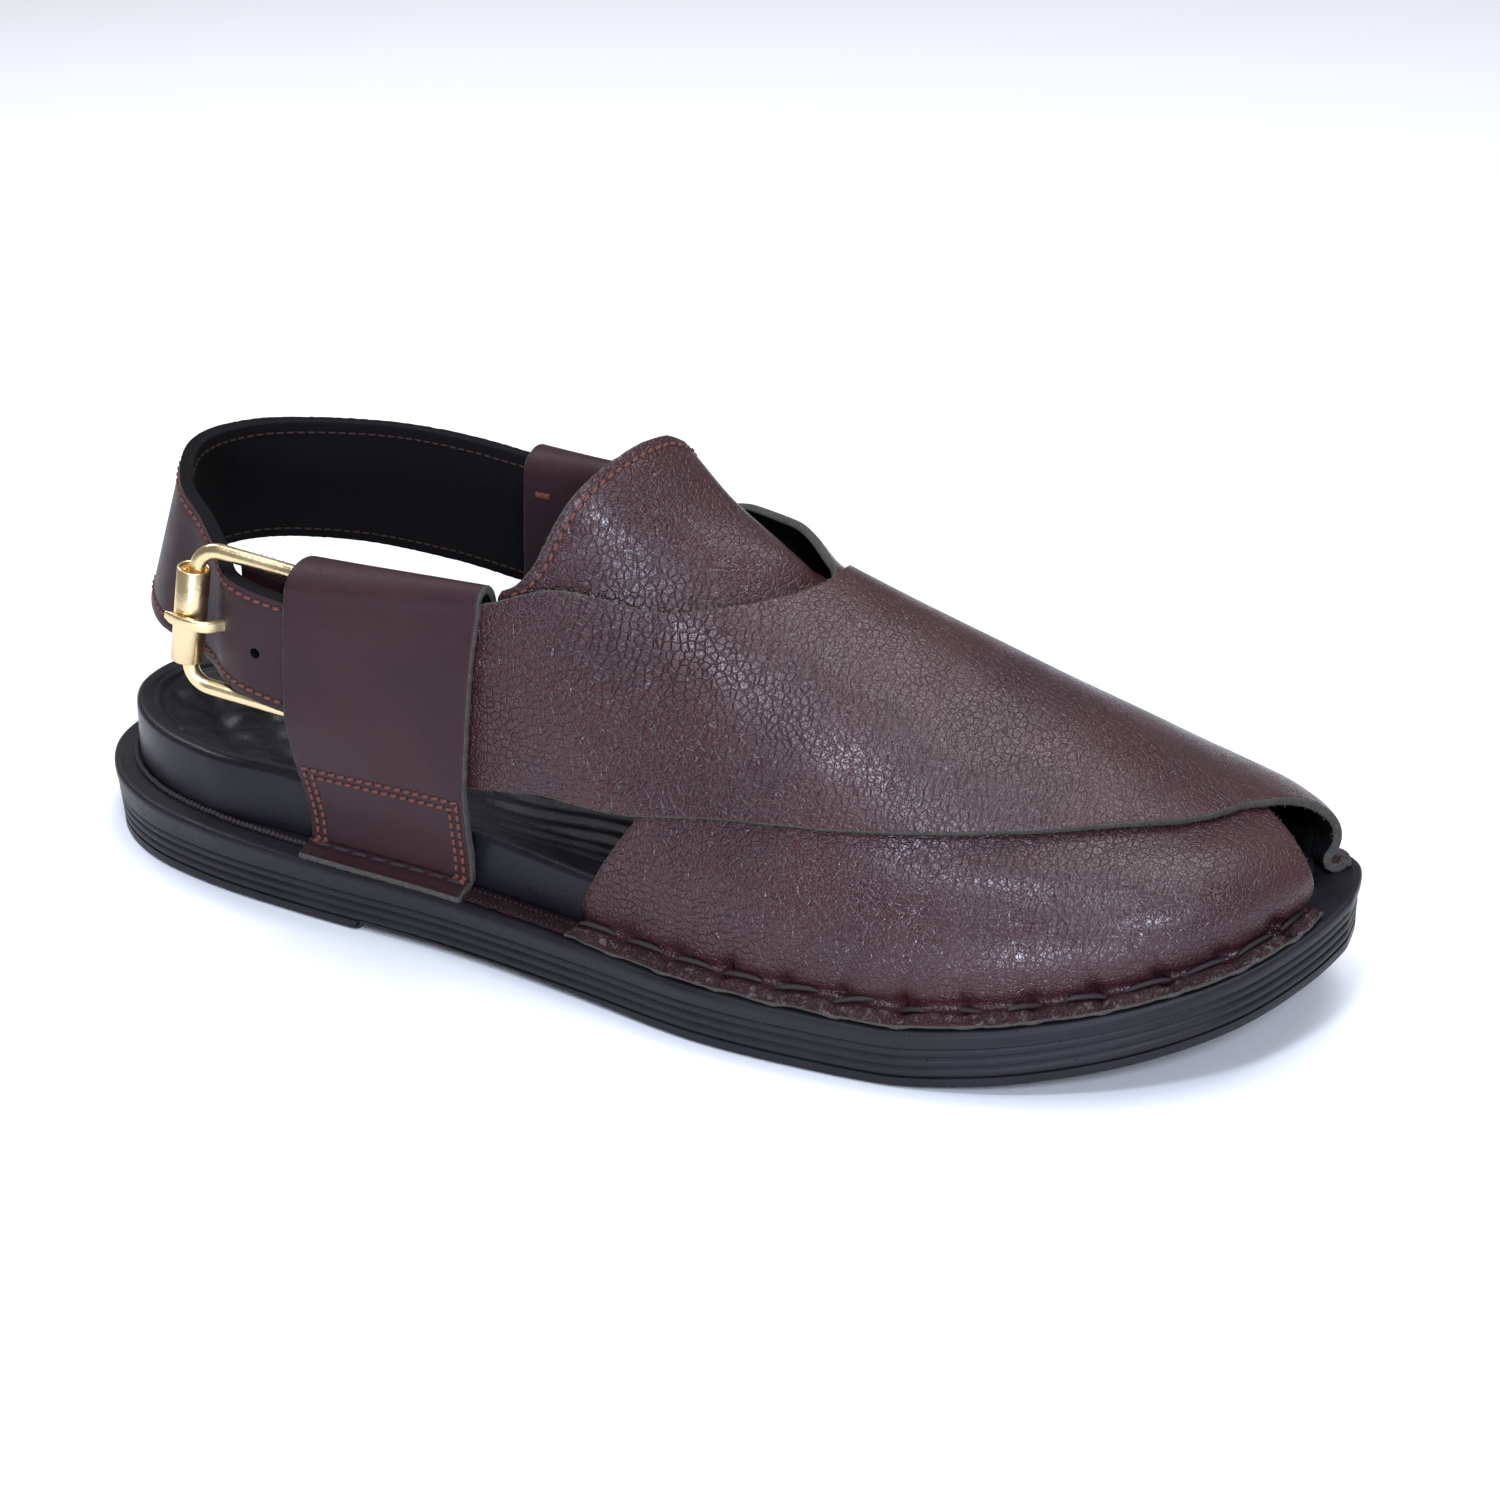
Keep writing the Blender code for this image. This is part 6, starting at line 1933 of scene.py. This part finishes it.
class CHAPPAL_OT_stage(bpy.types.Operator):
    """Make the floor, the lights and the camera"""

    bl_idname = "chappal.stage"
    bl_label = "Stage"

    def execute(self, context):
        """Pale floor, soft boxes and the camera at the photo's angle."""
        self.floor()
        self.world()
        for row in SOFTBOXES:
            self.softbox(*row)
        self.camera()
        return {"FINISHED"}

    def floor(self):
        """One large plane under the sole."""
        mesh = bpy.data.meshes.new("studio_floor")
        half = FLOOR_HALF
        corners = [(-half, -half, 0.0), (half, -half, 0.0), (half, half, 0.0), (-half, half, 0.0)]
        mesh.from_pydata(corners, [], [(0, 1, 2, 3)])
        floor = bpy.data.objects.new("studio_floor", mesh)
        bpy.context.scene.collection.objects.link(floor)
        material, _, shader, _ = new_finish("studio_floor")
        set_shader(shader, Base_Color=rgba(colours().floor), Roughness=0.9, Specular_IOR_Level=0.1)
        mesh.materials.append(material)

    def world(self):
        """Even white light from all round."""
        world = bpy.data.worlds.new("studio")
        world.use_nodes = True
        background = world.node_tree.nodes["Background"]
        background.inputs["Color"].default_value = (1.0, 1.0, 1.0, 1.0)
        background.inputs["Strength"].default_value = WORLD_STRENGTH
        bpy.context.scene.world = world
        bpy.context.scene.view_settings.view_transform = "Standard"

    def softbox(self, name, place, aim, size, power, colour):
        """A square area light that looks at a point."""
        light = bpy.data.lights.new(name, "AREA")
        light.size = size
        light.energy = power
        light.color = colour
        lamp = bpy.data.objects.new(name, light)
        bpy.context.scene.collection.objects.link(lamp)
        lamp.location = place
        lamp.rotation_mode = "QUATERNION"
        lamp.rotation_quaternion = (Vector(aim) - Vector(place)).to_track_quat("-Z", "Y")

    def camera(self):
        """The photo's viewing angle, distance and framing."""
        a, e, r = map(math.radians, CAMERA_ANGLES)
        back = Vector((math.sin(a) * math.cos(e), -math.cos(a) * math.cos(e), math.sin(e)))
        right = Vector((math.cos(a), math.sin(a), 0.0))
        up = back.cross(right)
        rolled_right = right * math.cos(r) + up * math.sin(r)
        rolled_up = -right * math.sin(r) + up * math.cos(r)
        lens = bpy.data.cameras.new("camera")
        lens.lens = CAMERA_LENS
        lens.sensor_width = 36.0
        camera = bpy.data.objects.new("camera", lens)
        bpy.context.scene.collection.objects.link(camera)
        matrix = Matrix((rolled_right, rolled_up, back)).transposed().to_4x4()
        shift = rolled_right * CAMERA_SHIFT[0] + rolled_up * CAMERA_SHIFT[1]
        matrix.translation = Vector((0, 0, CAMERA_AIM_HEIGHT)) + back * CAMERA_DISTANCE + shift
        camera.matrix_world = matrix
        bpy.context.scene.camera = camera


class CHAPPAL_PT_looks(bpy.types.Panel):
    """The chappal's pieces in the 3D view's sidebar"""

    bl_idname = "CHAPPAL_PT_looks"
    bl_label = "Peshawari chappal"
    bl_space_type = "VIEW_3D"
    bl_region_type = "UI"
    bl_category = "Chappal"

    def draw(self, context):
        """Sizes, colours and one button for each operator."""
        for group in (context.scene.chappal_sizes, context.scene.chappal_colours):
            box = self.layout.box()
            for name in group.bl_rna.properties.keys():
                if name not in ("rna_type", "name"):
                    box.prop(group, name)
        for operator in OPERATORS:
            self.layout.operator(operator.bl_idname)


OPERATORS = (
    CHAPPAL_OT_finishes,
    CHAPPAL_OT_outsole,
    CHAPPAL_OT_footbed,
    CHAPPAL_OT_welt,
    CHAPPAL_OT_flaps,
    CHAPPAL_OT_tongue,
    CHAPPAL_OT_loops,
    CHAPPAL_OT_heel_strap,
    CHAPPAL_OT_buckle,
    CHAPPAL_OT_stage,
)
CLASSES = (ChappalSizes, ChappalColours, *OPERATORS, CHAPPAL_PT_looks)


def register():
    """Register the classes and put their settings on the scene."""
    for cls in CLASSES:
        bpy.utils.register_class(cls)
    bpy.types.Scene.chappal_sizes = bpy.props.PointerProperty(type=ChappalSizes)
    bpy.types.Scene.chappal_colours = bpy.props.PointerProperty(type=ChappalColours)


def unregister():
    """Take the settings and classes away again."""
    del bpy.types.Scene.chappal_colours
    del bpy.types.Scene.chappal_sizes
    for cls in reversed(CLASSES):
        bpy.utils.unregister_class(cls)


def main():
    """Build every piece in order."""
    register()
    for operator in OPERATORS:
        group, name = operator.bl_idname.split(".")
        getattr(getattr(bpy.ops, group), name)()


if __name__ == "__main__":
    main()
